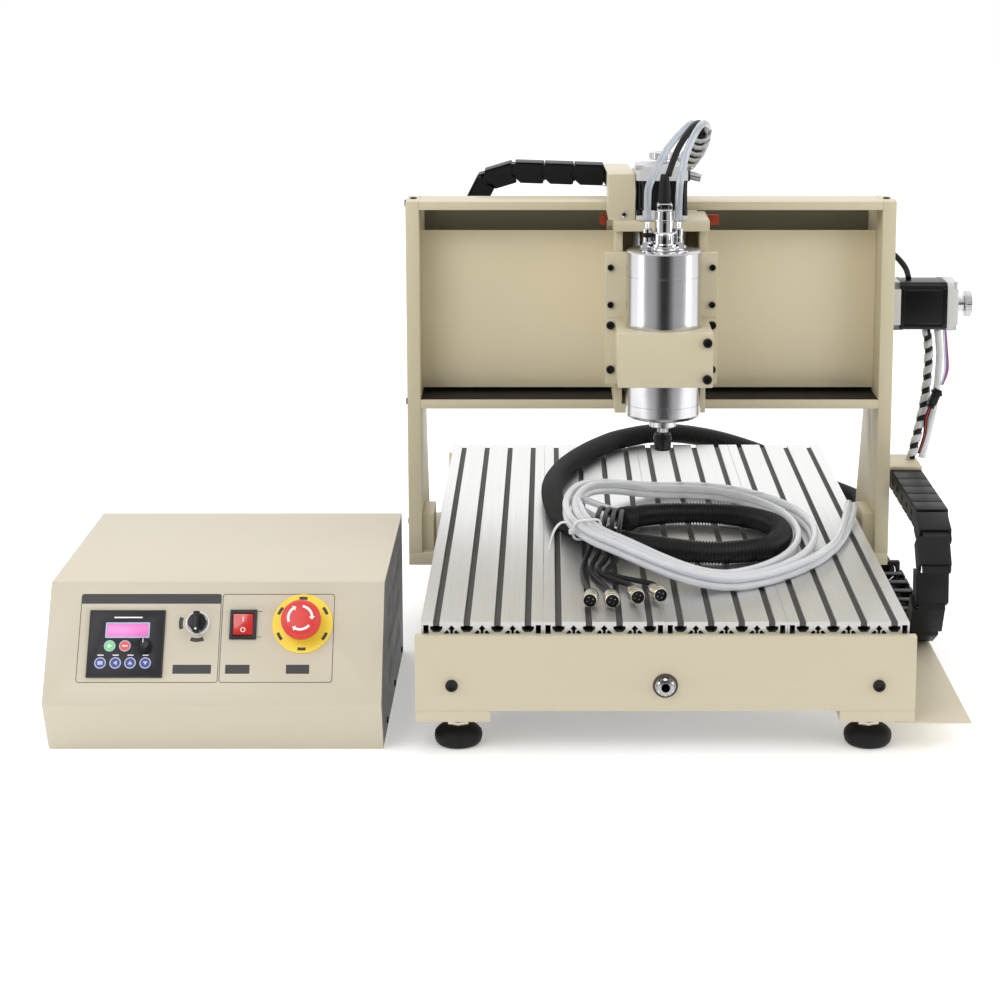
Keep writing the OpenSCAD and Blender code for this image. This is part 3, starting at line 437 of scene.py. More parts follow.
def spiral_wrap(name, line, radius, turn_length, width, thick=0.9):
    """A flat band wound round a line, all in millimetres."""
    line = even(np.asarray(line, float), 1.5)
    first, second = sides_of(line)
    ahead = np.gradient(line, axis=0)
    ahead /= np.linalg.norm(ahead, axis=1)[:, None]
    run = np.arange(len(line)) * length_of(line) / (len(line) - 1)
    turn = (run * 2 * math.pi / turn_length)[:, None]
    out = first * np.cos(turn) + second * np.sin(turn)
    middle = line + out * radius
    corners = [
        middle + ahead * (s * width / 2) + out * o
        for s, o in ((-1, 0), (1, 0), (1, thick), (-1, thick))
    ]
    points = np.stack(corners, axis=1).reshape(-1, 3)
    last = (len(line) - 1) * 4
    faces = [
        (i + k, i + (k + 1) % 4, i + 4 + (k + 1) % 4, i + 4 + k)
        for i in range(0, last, 4)
        for k in range(4)
    ]
    faces += [(3, 2, 1, 0), (last, last + 1, last + 2, last + 3)]
    return cord_mesh(name, points, faces)


def cord_curve(name, line, diameter):
    """An open round curve along a line, millimetres, for a free cord."""
    curve = bpy.data.curves.new(name, "CURVE")
    curve.dimensions = "3D"
    curve.bevel_depth = diameter / 2000
    curve.bevel_resolution = 4
    curve.use_fill_caps = True
    spline = curve.splines.new("POLY")
    spline.points.add(len(line) - 1)
    for point, place in zip(spline.points, line):
        point.co = (*at(*place), 1)
        spline.use_smooth = True
    piece = bpy.data.objects.new(name, curve)
    bpy.context.scene.collection.objects.link(piece)
    return piece


# ---------------------------------------------------------------- finishes


def node_group(name, inputs, outputs):
    """An empty shader group with named sockets, and its two ends."""
    group = bpy.data.node_groups.new(name, "ShaderNodeTree")
    for label, kind, default in inputs:
        socket = group.interface.new_socket(name=label, in_out="INPUT", socket_type=kind)
        if default is not None:
            socket.default_value = default
    for label, kind in outputs:
        group.interface.new_socket(name=label, in_out="OUTPUT", socket_type=kind)
    return group, group.nodes.new("NodeGroupInput"), group.nodes.new("NodeGroupOutput")


def noise(nodes, detail=2.0):
    node = nodes.new("ShaderNodeTexNoise")
    node.inputs["Detail"].default_value = detail
    return node


def ranged(nodes, links, value, low, high):
    """Spreads a value from 0 to 1 between two numbers or sockets."""
    node = nodes.new("ShaderNodeMapRange")
    links.new(value, node.inputs["Value"])
    for name, end in (("To Min", low), ("To Max", high)):
        if isinstance(end, (int, float)):
            node.inputs[name].default_value = end
        else:
            links.new(end, node.inputs[name])
    return node.outputs["Result"]


def make_powder_group():
    """Powder coat and moulded plastic: fine orange peel and faint handling marks."""
    group, start, end = node_group(
        "Powder coat",
        [
            ("Vector", "NodeSocketVector", None),
            ("Colour", "NodeSocketColor", (0.8, 0.8, 0.8, 1)),
            ("Grain size", "NodeSocketFloat", 900.0),
            ("Smoothest", "NodeSocketFloat", 0.4),
            ("Roughest", "NodeSocketFloat", 0.5),
        ],
        [
            ("Colour", "NodeSocketColor"),
            ("Roughness", "NodeSocketFloat"),
            ("Height", "NodeSocketFloat"),
        ],
    )
    nodes, links = group.nodes, group.links
    peel = noise(nodes, 3)
    links.new(start.outputs["Vector"], peel.inputs["Vector"])
    links.new(start.outputs["Grain size"], peel.inputs["Scale"])
    marks = noise(nodes, 4)
    marks.inputs["Scale"].default_value = 9
    links.new(start.outputs["Vector"], marks.inputs["Vector"])
    links.new(
        ranged(nodes, links, marks.outputs["Fac"], start.outputs["Smoothest"],
               start.outputs["Roughest"]),
        end.inputs["Roughness"],
    )
    tint = nodes.new("ShaderNodeMix")
    tint.data_type = "RGBA"
    tint.blend_type = "MULTIPLY"
    shade = ranged(nodes, links, marks.outputs["Fac"], 0.0, 0.16)
    links.new(shade, tint.inputs[0])
    links.new(start.outputs["Colour"], tint.inputs[6])
    tint.inputs[7].default_value = (0.82, 0.8, 0.78, 1)
    links.new(tint.outputs[2], end.inputs["Colour"])
    links.new(peel.outputs["Fac"], end.inputs["Height"])
    return group


def make_brushed_group():
    """Brushed and turned metal: fine streaks, long along the axis with the small scale."""
    group, start, end = node_group(
        "Brushed metal",
        [
            ("Vector", "NodeSocketVector", None),
            ("Streaks", "NodeSocketVector", (900.0, 8.0, 900.0)),
            ("Colour", "NodeSocketColor", (0.7, 0.7, 0.7, 1)),
            ("Smoothest", "NodeSocketFloat", 0.2),
            ("Roughest", "NodeSocketFloat", 0.4),
            ("Shade", "NodeSocketFloat", 0.2),
        ],
        [
            ("Colour", "NodeSocketColor"),
            ("Roughness", "NodeSocketFloat"),
            ("Height", "NodeSocketFloat"),
        ],
    )
    nodes, links = group.nodes, group.links
    stretch = nodes.new("ShaderNodeVectorMath")
    stretch.operation = "MULTIPLY"
    links.new(start.outputs["Vector"], stretch.inputs[0])
    links.new(start.outputs["Streaks"], stretch.inputs[1])
    streaks = noise(nodes, 3)
    streaks.inputs["Scale"].default_value = 1
    links.new(stretch.outputs["Vector"], streaks.inputs["Vector"])
    links.new(
        ranged(nodes, links, streaks.outputs["Fac"], start.outputs["Smoothest"],
               start.outputs["Roughest"]),
        end.inputs["Roughness"],
    )
    tint = nodes.new("ShaderNodeMix")
    tint.data_type = "RGBA"
    tint.blend_type = "MULTIPLY"
    links.new(
        ranged(nodes, links, streaks.outputs["Fac"], 0.0, start.outputs["Shade"]),
        tint.inputs[0],
    )
    links.new(start.outputs["Colour"], tint.inputs[6])
    tint.inputs[7].default_value = (0.45, 0.45, 0.46, 1)
    links.new(tint.outputs[2], end.inputs["Colour"])
    links.new(streaks.outputs["Fac"], end.inputs["Height"])
    return group


def material(name, colour, **sockets):
    """A Principled material whose plain values sit on the shader's own sockets."""
    made = bpy.data.materials.new(name)
    made.use_nodes = True
    shader = made.node_tree.nodes["Principled BSDF"]
    shader.inputs["Base Color"].default_value = (*colour, 1)
    for socket, value in sockets.items():
        shader.inputs[socket.replace("_", " ")].default_value = value
    return made


def with_group(made, group, bump, distance, **values):
    """Feeds colour, roughness and bump of a material from one of the groups."""
    nodes, links = made.node_tree.nodes, made.node_tree.links
    shader = nodes["Principled BSDF"]
    place = nodes.new("ShaderNodeTexCoord")
    surface = nodes.new("ShaderNodeGroup")
    surface.node_tree = group
    links.new(place.outputs["Object"], surface.inputs["Vector"])
    surface.inputs["Colour"].default_value = shader.inputs["Base Color"].default_value
    for label, value in values.items():
        surface.inputs[label.replace("_", " ")].default_value = value
    links.new(surface.outputs["Colour"], shader.inputs["Base Color"])
    links.new(surface.outputs["Roughness"], shader.inputs["Roughness"])
    if bump:
        relief = nodes.new("ShaderNodeBump")
        relief.inputs["Strength"].default_value = bump
        relief.inputs["Distance"].default_value = distance
        links.new(surface.outputs["Height"], relief.inputs["Height"])
        links.new(relief.outputs["Normal"], shader.inputs["Normal"])
    return made


def make_finishes(colours):
    """Every finish by name, with the record's material slot that it belongs to."""
    powder, brushed = make_powder_group(), make_brushed_group()

    def coat(name, colour, low, high, grain=900.0, bump=0.08):
        made = material(name, colour, Specular_IOR_Level=0.4 if max(colour) > 0.1 else 0.25)
        return with_group(
            made, powder, bump, 0.0002, Grain_size=grain, Smoothest=low, Roughest=high
        )

    def metal(name, colour, low, high, streaks, shade=0.2, bump=0.04, **more):
        made = material(name, colour, Metallic=1.0, **more)
        return with_group(
            made, brushed, bump, 0.0001,
            Streaks=streaks, Smoothest=low, Roughest=high, Shade=shade,
        )

    def plain(name, colour, roughness, **more):
        return material(name, colour, Roughness=roughness, **more)

    along_x, along_y = (8.0, 900.0, 900.0), (900.0, 6.0, 900.0)
    rings = (60.0, 60.0, 1600.0)
    grey = linear(196, 197, 199)
    FINISHES.update({
        "frame_paint": (coat("Frame powder coat", colours.frame_paint, 0.42, 0.52), "frame_paint"),
        "gantry_paint": (coat("Gantry powder coat", colours.gantry_paint, 0.36, 0.46),
                         "gantry_paint"),
        "panel_paint": (coat("Panel powder coat", colours.panel_paint, 0.4, 0.5), "gantry_paint"),
        # side_shade_paint: darker grey for the box's sides, painted shade
        "side_shade_paint": (coat("Box side shade coat", colours.side_shade_paint, 0.45, 0.55), "box_paint"),
        # slot: dark grey strips in the table's T-slots, painted shade for the shade inside the
        # slots
        "slot": (plain("Slot painted shade", linear(70, 69, 66), 0.7), None),
        "head_paint": (coat("Head powder coat", colours.gantry_paint, 0.36, 0.46), "head_paint"),
        "block_paint": (coat("Block paint", colours.gantry_paint, 0.4, 0.5), "block_aluminium"),
        "box_paint": (coat("Control box powder coat", colours.box_paint, 0.4, 0.5), "box_paint"),
        "table": (
            metal("Table aluminium", colours.table, 0.34, 0.5, along_y, 0.22, 0.08),
            "table_aluminium",
        ),
        "block": (metal("Machined aluminium", grey, 0.3, 0.45, along_x, 0.2), "block_aluminium"),
        "shaft": (metal("Ground shaft", linear(190, 192, 196), 0.12, 0.22, along_y),
                  "ground_shaft"),
        "screw_steel": (metal("Rolled screw", linear(176, 176, 178), 0.2, 0.3, rings),
                        "ground_shaft"),
        "spindle": (
            metal("Turned stainless", linear(214, 214, 217), 0.14, 0.24, rings, 0.3, 0.05,
                  Anisotropic=0.55),
            "spindle_steel",
        ),
        "chrome": (plain("Chrome", linear(222, 222, 224), 0.08, Metallic=1.0), "fitting_chrome"),
        "nickel": (plain("Nickel plate", linear(205, 199, 186), 0.2, Metallic=1.0), "plug_nickel"),
        "knob": (metal("Knob aluminium", linear(214, 214, 216), 0.22, 0.35, rings),
                 "knob_aluminium"),
        "cast": (coat("Cast aluminium", linear(206, 206, 205), 0.35, 0.5, 1400, 0.3),
                 "motor_black"),
        "seal": (coat("Oiled felt", linear(84, 74, 64), 0.6, 0.7), None),
        # recess_shade: dark olive sheet inside the gantry beam, painted shade for the shaded recess
        # behind the dust panel
        "recess_shade": (plain("Olive recess shade", linear(92, 88, 70), 0.8), None),
        "motor": (coat("Motor lacquer", linear(16, 16, 17), 0.28, 0.4), "motor_black"),
        "plastic": (coat("Chain nylon", colours.plastic, 0.42, 0.55, 1500, 0.15), "chain_plastic"),
        "rubber": (coat("Rubber", colours.rubber, 0.5, 0.62, 1200, 0.2), "foot_rubber"),
        "conduit": (coat("Conduit nylon", colours.rubber, 0.34, 0.44), "conduit_black"),
        "lead": (coat("Lead sheath", linear(22, 22, 25), 0.4, 0.5), "lead_black"),
        "screw": (coat("Black oxide", colours.oxide, 0.28, 0.4, 1500), "black_screws"),
        "nut": (coat("Collet black", colours.oxide, 0.2, 0.3), "nut_black"),
        "rotor": (metal("Rotor steel", grey, 0.15, 0.25, rings), "rotor_steel"),
        "tube": (
            plain("Water tube", colours.tube, 0.16, Transmission_Weight=0.42, IOR=1.36,
                  Coat_Weight=0.35, Coat_Roughness=0.08),
            "tube_clear",
        ),
        "hose": (
            plain("Spindle hose", linear(214, 220, 228), 0.12, Transmission_Weight=0.55, IOR=1.36,
                  Coat_Weight=0.4, Coat_Roughness=0.06),
            "hose_clear",
        ),
        "wrap": (
            plain("Spiral wrap", linear(226, 228, 230), 0.25, Transmission_Weight=0.3, IOR=1.4),
            "wrapped_cable",
        ),
        "cable": (coat("Cable sheath", linear(24, 24, 26), 0.4, 0.5), "wrapped_cable"),
        "tie": (plain("Cable tie", linear(240, 240, 238), 0.35), None),
        "chassis": (metal("Chassis steel", linear(176, 178, 180), 0.35, 0.5, along_x),
                    "chassis_steel"),
        "drive": (coat("Drive film", linear(40, 40, 44), 0.34, 0.46), "drive_black"),
        "display": (
            plain("Lit display", colours.display, 0.25,
                  Emission_Color=(*colours.display, 1), Emission_Strength=0.15),
            "display_lens",
        ),
        "ring": (plain("Selector ring", linear(238, 238, 238), 0.2, Metallic=0.35), "ring_silver"),
        "switch": (coat("Switch moulding", linear(22, 22, 24), 0.25, 0.35), "switch_black"),
        "plate": (coat("Stop plate", colours.plate, 0.35, 0.42), "stop_yellow"),
        "stop": (coat("Stop button", colours.stop, 0.3, 0.38), "stop_red"),
        "rocker": (
            plain("Rocker lens", linear(196, 26, 18), 0.18, Coat_Weight=0.5), "rocker_red"
        ),
        "print_dark": (plain("Dark print", linear(52, 52, 54), 0.5), None),
        "print_white": (plain("White print", linear(238, 238, 236), 0.45), None),
        "line": (plain("Grey print", linear(92, 90, 84), 0.5), None),
        "green_key": (plain("Green key", linear(120, 206, 132), 0.4), None),
        "red_key": (plain("Red key", linear(222, 84, 78), 0.4), None),
        "blue_key": (plain("Blue key", linear(52, 60, 138), 0.4), None),
        "key_ring": (plain("Key ring", linear(176, 186, 214), 0.4), None),
        "felt": (plain("Red wiper", linear(190, 70, 42), 0.7), None),
        "red_wire": (plain("Red wire", linear(196, 44, 44), 0.4), None),
        "blue_wire": (plain("Blue wire", linear(96, 120, 196), 0.4), None),
        "white_wire": (plain("White wire", linear(226, 222, 226), 0.4), None),
        # hollow: near-black, painted shade for holes, slits and the space behind louvres that lie
        # in shade
        "hollow": (plain("Painted hole shade", linear(16, 16, 17), 0.8), None),
    })


class ROUTER_OT_camera(bpy.types.Operator):
    """Adds the camera that looks down on the table from in front."""

    bl_idname = "router.camera"
    bl_label = "Camera"

    def execute(self, context):
        pitch = math.radians(10)
        view_scale = 2.34  # focal length over frame width, for a camera that looks level
        over_table = 686 * math.cos(pitch)
        distance = 2687 - 686 * math.sin(pitch)
        data = bpy.data.cameras.new("Camera")
        data.sensor_width = 36
        data.lens = 36 * view_scale * math.cos(pitch)
        data.shift_x = -0.0495
        data.shift_y = (-0.577 + view_scale * math.sin(pitch))
        data.clip_end = 50
        camera = bpy.data.objects.new("Camera", data)
        context.scene.collection.objects.link(camera)
        camera.location = at(-113.8, -distance, 134 + over_table)
        camera.rotation_euler = (math.radians(90) - pitch, 0, 0)
        context.scene.camera = camera
        return {"FINISHED"}


# ---------------------------------------------------------------- free cords

TABLE_TOP = 134
CONDUIT_ROUTE = [
    (285, 86, 50), (285, 150, 49), (288, 230, 49), (296, 320, 49), (300, 392, 48),
    (296, 444, 48), (268, 478, 54), (222, 482, 78), (166, 458, 108), (100, 428, 134),
    (36, 404, 146.8), (-18, 370, 147), (-52, 318, 147), (-80, 254, 147), (-101, 180, 147),
    (-111, 100, 147), (-106, 0, 147), (-92, -64, 147), (-56, -120, 147), (0, -162, 147),
    (60, -184, 147), (114, -168, 147), (140, -120, 147), (136, -66, 147), (100, -28, 147),
    (50, -16, 147), (0, -24, 147), (-34, -46, 147),
]
LEAD_STARTS = [(-38.2, -42, 147), (-35, -47, 153), (-34, -48, 140.5), (-29.6, -55, 149)]
PLUGS = [((-72, -338, 144), -6), ((-52, -340, 144), 4), ((-28, -330, 145), 12),
         ((-6, -324, 145), 18)]
PLUG_LENGTH = 26


def lead_route(i):
    """Points along one connector lead, over the conduit and down to its plug."""
    (x, y, z), turn = PLUGS[i]
    back = PLUG_LENGTH / 2 + 0.8
    turn = math.radians(turn)
    return [
        LEAD_STARTS[i], (-54 + 7 * i, -64 - 5 * i, 165), (-60 + 8 * i, -102 - 6 * i, 168.5),
        (-63 + 8 * i, -131 - 11 * i, 165), (-70 + 9 * i, -162 - 14 * i, 146),
        (-79 + 9 * i, -222 - 4 * i, 138.5), (x - 2, y + 45, z - 5),
        (x - math.sin(turn) * back, y + math.cos(turn) * back, z),
    ]


def plug_place(i):
    place, turn = PLUGS[i]
    turn = math.radians(turn)
    return facing(place, (math.sin(turn), -math.cos(turn), 0))


def make_conduit(sizes):
    """The corrugated conduit, ribbed all along, with the sleeve that ends it."""
    half = sizes.conduit * 500
    pitch = sizes.rib * 1000
    line = smooth_line(CONDUIT_ROUTE, pitch / 4)
    phase = np.arange(len(line)) % 4
    radii = np.where(phase < 2, half, half - 1.5)
    conduit = swept("conduit_ribbed", line, radii, 20)
    dressed(conduit, "base", "conduit", "conduit")
    end, before = line[-1], line[-9]
    out = end - before
    sleeve = placed(
        turned("conduit_sleeve",
               [(13.6, -16), (13.8, -15), (13.8, -3), (13.2, -1), (10, 0.4), (9.4, -1)]),
        facing(end, out),
    )
    finished(sleeve, "base", "rubber")


def make_plug(i):
    """A round connector: cable gland, body, knurled coupling ring and black insert with pins."""
    half = PLUG_LENGTH / 2
    shell = turned("plug", [
        (4.2, -half), (5.3, -half + 0.6), (5.5, -half + 1), (5.5, -half + 7.4), (7, -half + 8),
        (7.2, -half + 8.6), (7.2, -1.6), (6.8, -1.2), (6.8, -0.6), (7.6, -0.4), (8, 0),
        (8, half - 5), (7.6, half - 4.4), (7.6, half - 0.5), (7.2, half), (6.5, half),
        (6.4, half - 6),
    ], 36)
    ridge = block("plug_ridge", (7.7, -0.35, 0.6), (8.25, 0.35, half - 5.6))
    ridges = copies(ridge, [Matrix.Rotation(k * math.tau / 24, 4, "Z") for k in range(24)])
    shell = placed(joined(f"plug_shell_{i}", shell, ridges), plug_place(i))
    finished(shell, "base", "nickel", "aviation_plugs")
    insert = turned("insert", [(6.3, half - 8), (6.3, half - 3), (5.9, half - 2.6)], 32)
    pin = turned("pin", [(0.6, half - 3), (0.6, half - 0.9), (0.3, half - 0.5)], 12)
    pins = copies(pin, [
        Matrix.Translation((math.cos(a) * 0.0032, math.sin(a) * 0.0032, 0))
        for a in (k * math.tau / 4 + 0.4 for k in range(4))
    ])
    insert = placed(insert, plug_place(i))
    insert.name = f"plug_insert_{i}"
    finished(insert, "base", "switch")
    pins = placed(pins, plug_place(i))
    pins.name = f"plug_pins_{i}"
    finished(pins, "base", "chrome")
    return [shell, insert, pins]


def make_leads(sizes):
    """Four black leads from the conduit's end to their round plugs."""
    for i in range(len(PLUGS)):
        line = smooth_line(lead_route(i), 4)
        lead = cord_curve(f"lead_{i}", line, sizes.lead * 1000)
        dressed(lead, "base", "lead", "connector_leads")
        make_plug(i)


COIL_MIDDLE = (42, -85)
COIL_HALVES = (129.5, 195.5)
LANE = 8.6
TUBE_STARTS = [
    [(-38.6, -38.9, 140.5), (-62, -42, 149), (-80, -54, 162)],
    [(-37.5, -40.5, 154.5), (-58, -38, 162), (-81, -44, 171.5)],
]
TUBE_TIPS = [(239, 20, 147), (231, 14, 151)]
COIL_LAST = 1036  # degrees round the coil at which the tail leaves it


def eased(value, low, high):
    """0 below low, 1 above high, and smooth between."""
    k = np.clip((np.asarray(value, float) - low) / (high - low), 0, 1)
    return k * k * (3 - 2 * k)


def coil_points(angle, lane, layer):
    """Places on the oval coil: angle in degrees, lane across the bundle, layer up in it."""
    around = angle % 360
    loose = 0.5 + 0.5 * np.cos(np.radians(around - 25))
    drift = 2.5 * np.sin(np.radians(2 * around + 60 * layer)) * loose
    out = lane * LANE * (1 + 0.9 * loose) + drift
    lift = eased(around, 95, 160) * (1 - eased(around, 225, 288))
    z = TABLE_TOP + 4.2 + 8.3 * layer + 27.3 * lift
    return np.stack([
        COIL_MIDDLE[0] + (COIL_HALVES[0] + out) * np.cos(np.radians(angle)),
        COIL_MIDDLE[1] + (COIL_HALVES[1] + out) * np.sin(np.radians(angle)),
        z,
    ], axis=1)


def leaving(coil, tip, heading):
    """Points that lead smoothly off the coil's last point to a tip, both ways given."""
    start = coil[-1]
    ahead = coil[-1] - coil[-2]
    ahead /= np.linalg.norm(ahead)
    tip, heading = np.array(tip, float), np.array(heading, float)
    handle = np.linalg.norm(tip - start) * 0.36
    first, second = start + ahead * handle, tip - heading / np.linalg.norm(heading) * handle
    t = np.linspace(0, 1, 15)[1:, None]
    return (start * (1 - t) ** 3 + first * 3 * t * (1 - t) ** 2
            + second * 3 * t * t * (1 - t) + tip * t ** 3)


def make_water_tubes(sizes):
    """Two milky water tubes from the conduit's end, coiled together, bare at the right."""
    for i, (start, tip) in enumerate(zip(TUBE_STARTS, TUBE_TIPS)):
        angle = np.arange(186.0, COIL_LAST, 6)
        lane = eased(angle, 186, 1020) * 2 - 1
        coil = coil_points(angle, lane, i)
        line = smooth_line(np.vstack([start, coil, leaving(coil, tip, (0.2, 0.97, 0.1))]), 5)
        tube = cord_curve(f"water_tube_{i}", line, sizes.tube * 1000)
        dressed(tube, "base", "tube", "water_tubes")


def make_cable_tie():
    """The white tie round the coiled tubes, with its head and its long loose end."""
    angle = np.array([207.0])
    middle = coil_points(angle, np.zeros(1), 0.5)[0]
    ahead = coil_points(angle + 3, np.zeros(1), 0.5)[0] - middle
    across = np.cross(ahead / np.linalg.norm(ahead), (0, 0, 1))
    up = np.array((0, 0, 1.0))
    loop = [
        (15.5, -2), (16, 3), (12, 9.6), (0, 10.4), (-12, 9.6), (-16, 3), (-16, -4), (-12, -9.6),
        (0, -10.2), (12, -9.6), (16, -5), (17.6, 2), (22, 9), (30, 10), (37, 3), (41, -8),
        (43, -19),
    ]
    line = smooth_line([middle + across * a + up * b for a, b in loop], 1.5)
    tie = swept("cable_tie", line, 1.35, 8)
    dressed(tie, "base", "tie")
    head = bevelled(block("cable_tie_head", (-2.6, -2.8, -2.2), (2.6, 2.8, 2.6)), 0.5)
    placed(head, facing(middle + across * 17.6 + up * -1, up, across))
    finished(head, "base", "tie")


class ROUTER_OT_cords(bpy.types.Operator):
    """Lays the free cords: ribbed conduit, connector leads with their plugs, coiled water tubes."""

    bl_idname = "router.cords"
    bl_label = "Free cords"

    def execute(self, context):
        sizes = context.scene.router_sizes
        make_conduit(sizes)
        make_leads(sizes)
        make_water_tubes(sizes)
        make_cable_tie()
        return {"FINISHED"}


# ---------------------------------------------------------------- painted and plain CAD shapes

PLATES = {
    "front_plate": "frame_paint", "back_plate": "frame_paint", "foot_plates": "frame_paint",
    "chain_tray": "frame_paint", "side_plate_left": "gantry_paint",
    "side_plate_right": "gantry_paint", "lower_cross_plate": "gantry_paint",
    "y_bearing_blocks": "block", "beam_top_plate": "gantry_paint",
    "beam_bottom_plate": "gantry_paint", "dust_panel": "panel_paint",
    "rear_cover": "gantry_paint", "y_chain_bracket": "gantry_paint",
    "x_carriage": "block_paint", "z_frame": "head_paint", "z_top_cap": "head_paint",
    "x_chain_bracket": "gantry_paint", "z_carriage_plate": "head_paint",
    "spindle_clamp": "head_paint", "controller_shell": "box_paint",
    "controller_chassis": "chassis", "drive_keypad": "drive", "drive_display": "display",
    "rocker_frame": "switch", "power_rocker": "rocker",
}
THIN = {"chain_tray": 0.3, "rear_cover": 0.4, "controller_shell": 0.35, "controller_chassis": 0,
        "y_chain_bracket": 0.4, "x_chain_bracket": 0.4, "drive_keypad": 0.3,
        "drive_display": 0.1, "rocker_frame": 0.4, "power_rocker": 0.4, "dust_panel": 0.4}
ROUND = {
    "y_guide_rails": "shaft", "x_guide_rails": "shaft", "z_guide_rails": "shaft",
    "y_ball_screw": "screw_steel", "x_ball_screw": "screw_steel", "z_ball_screw": "screw_steel",
    "spindle_shaft": "rotor",
}


class ROUTER_OT_plates(bpy.types.Operator):
    """Breaks the edges of the plates and sheets, and gives the rails and screws their steel."""

    bl_idname = "router.plates"
    bl_label = "Plates and rails"

    def execute(self, context):
        for node, finish in PLATES.items():
            softened(node, finish, THIN.get(node))
        for node, finish in ROUND.items():
            softened(node, finish, 0.25)
        return {"FINISHED"}


# ---------------------------------------------------------------- table


def slotted_outline(width=120, height=15, pitch=30, slot=6.4):
    """One table extrusion's outline seen from the front, with its T-slots open at the top."""
    half, first = slot / 2, pitch / 2
    outline = [(0.2, 0), (width - 0.2, 0), (width - 0.05, height - 0.5), (width - 0.5, height)]
    for x in (first + pitch * k for k in reversed(range(int(width / pitch)))):
        outline += [
            (x + half + 0.3, height), (x + half, height - 0.3), (x + half, height - 4.5),
            (x + 6, height - 4.5), (x + 6, height - 7.5), (x + 3, height - 10.5),
            (x - 3, height - 10.5), (x - 6, height - 7.5), (x - 6, height - 4.5),
            (x - half, height - 4.5), (x - half, height - 0.3), (x - half - 0.3, height),
        ]
    return outline + [(0.5, height), (0.05, height - 0.5)]


def hollow_outlines(width=120, pitch=30):
    """The hollows between the slots: a tall one in the middle and a low one at each side."""
    made = []
    for k in range(1, int(width / pitch)):
        x = k * pitch
        made.append([(x - 1.6, 2), (x + 1.6, 2), (x + 1.2, 6), (x + 3.4, 8), (x, 11.6),
                     (x - 3.4, 8), (x - 1.2, 6)])
        for s in (-1, 1):
            made.append([(x + s * a, z) for a,
                         z in ((3, 2), (8.4, 2), (6.6, 4.6), (4.4, 6.6), (2.6, 5))])
    for x in (2.2, width - 7.4):
        made.append([(x, 2.2), (x + 5.2, 2.2), (x + 5.2, 11.6), (x, 11.6)])
    return made


class ROUTER_OT_table(bpy.types.Operator):
    """Draws the slotted table out of four equal extrusions, with dark strips of painted shade in
    its slots.
    """

    bl_idname = "router.table"
    bl_label = "Slotted table"

    def execute(self, context):
        rail = sheet_cut("table_profile", [slotted_outline(), *hollow_outlines()], 780)
        upright = Matrix.Rotation(math.radians(90), 4, "X")
        table = copies(rail, [
            Matrix.Translation(at(-240 + 120 * i, 0, 119) - ORIGIN) @ upright for i in range(4)
        ])
        finished(table, "base", "table", "table_extrusions", 20)
        # Dark strips laid in the T-slots: painted shade for the shade inside the slots
        strip = block("slot_shade_strips", (-3.15, -389.6, 129.8), (3.15, 389.6, 130.2))
        strips = copies(strip, [Matrix.Translation((x / 1000, 0, 0)) for x in range(-225, 226, 30)])
        finished(strips, "base", "slot", (), 0)
        return {"FINISHED"}


# ---------------------------------------------------------------- fastenings


def cap_screw(name, width, proud, key=None, dish=0.12):
    """A socket-head screw's head standing along +Z, with its six-sided socket."""
    r = width / 2
    head = turned(name, [
        (r * 0.94, -0.6), (r, 0), (r, proud * 0.55), (r * 0.97, proud * 0.8),
        (r * (1 - dish), proud), (r * 0.6, proud), (r * 0.56, proud - 0.15),
    ], 28)
    key = key or width * 0.5
    clear()
    bpy.ops.mesh.primitive_cylinder_add(
        vertices=6, radius=key / 1732, depth=proud * 1.3 / 1000, location=(0, 0, proud / 1000)
    )
    return cut(head, bpy.context.object)


def both(*places):
    """Each place and its mirror image at the other side."""
    return [p for x, y, z in places for p in ((x, y, z), (-x, y, z))]


def screws(name, width, proud, places, out, up=(0, 0, 1)):
    return copies(cap_screw(name, width, proud), [facing(p, out, up) for p in places])


class ROUTER_OT_screws(bpy.types.Operator):
    """Sets the socket-head screws of the frame, the gantry and the head."""

    bl_idname = "router.screws"
    bl_label = "Socket screws"

    def execute(self, context):
        front = screws("front_screws", 12.4, 2.5, both((210, -400, 72)), (0, -1, 0))
        back = screws("back_screws", 12.4, 2.5, both((210, 400, 72)), (0, 1, 0))
        finished(joined("frame_screw_heads", front, back), "base", "screw", "frame_screws")
        washers = copies(
            turned("rail_washers", [(8.6, 0), (8.6, 0.25), (6.4, 0.3)], 36),
            [facing(p, (0, -1, 0)) for p in both((210, -400, 72))],
        )
        finished(washers, "base", "frame_paint")
        ends = [(-275.5, 92, 371.5 + s * 54) for s in (-1, 1)]
        rail_ends = screws("rail_end_screws", 12.6, 4, ends, (-1, 0, 0))
        sides = [(y, 270) for y in (20, 100)] + [(28, 497.25)] + [(y, 125) for y in (34, 60)]
        parts = [rail_ends]
        for s in (-1, 1):
            parts.append(screws("side", 8, 2.5, [(s * 275.5, y, z) for y, z in sides], (s, 0, 0)))
        tops = both((268, 30, 502))
        parts.append(screws("top", 8, 1.5, tops, (0, 0, 1), (0, 1, 0)))
        finished(joined("gantry_screw_heads", *parts), "gantry", "screw", "gantry_screws")
        head = [
            screws("low", 9, 3, [(8 + s * 55.4, -95, 313 + z) for z in (16, 65) for s in (-1, 1)],
                   (0, -1, 0)),
            screws("high", 7, 3, [(8 + s * 55.4, -91, 385 + z) for z in (15, 56) for s in (-1, 1)],
                   (0, -1, 0)),
            screws("clamp", 10, 4, [(52, -192, 328 + z) for z in (9, 48)], (0, -1, 0)),
        ]
        finished(joined("head_screw_heads", *head), "head", "screw", "head_screws")
        return {"FINISHED"}


# ---------------------------------------------------------------- base


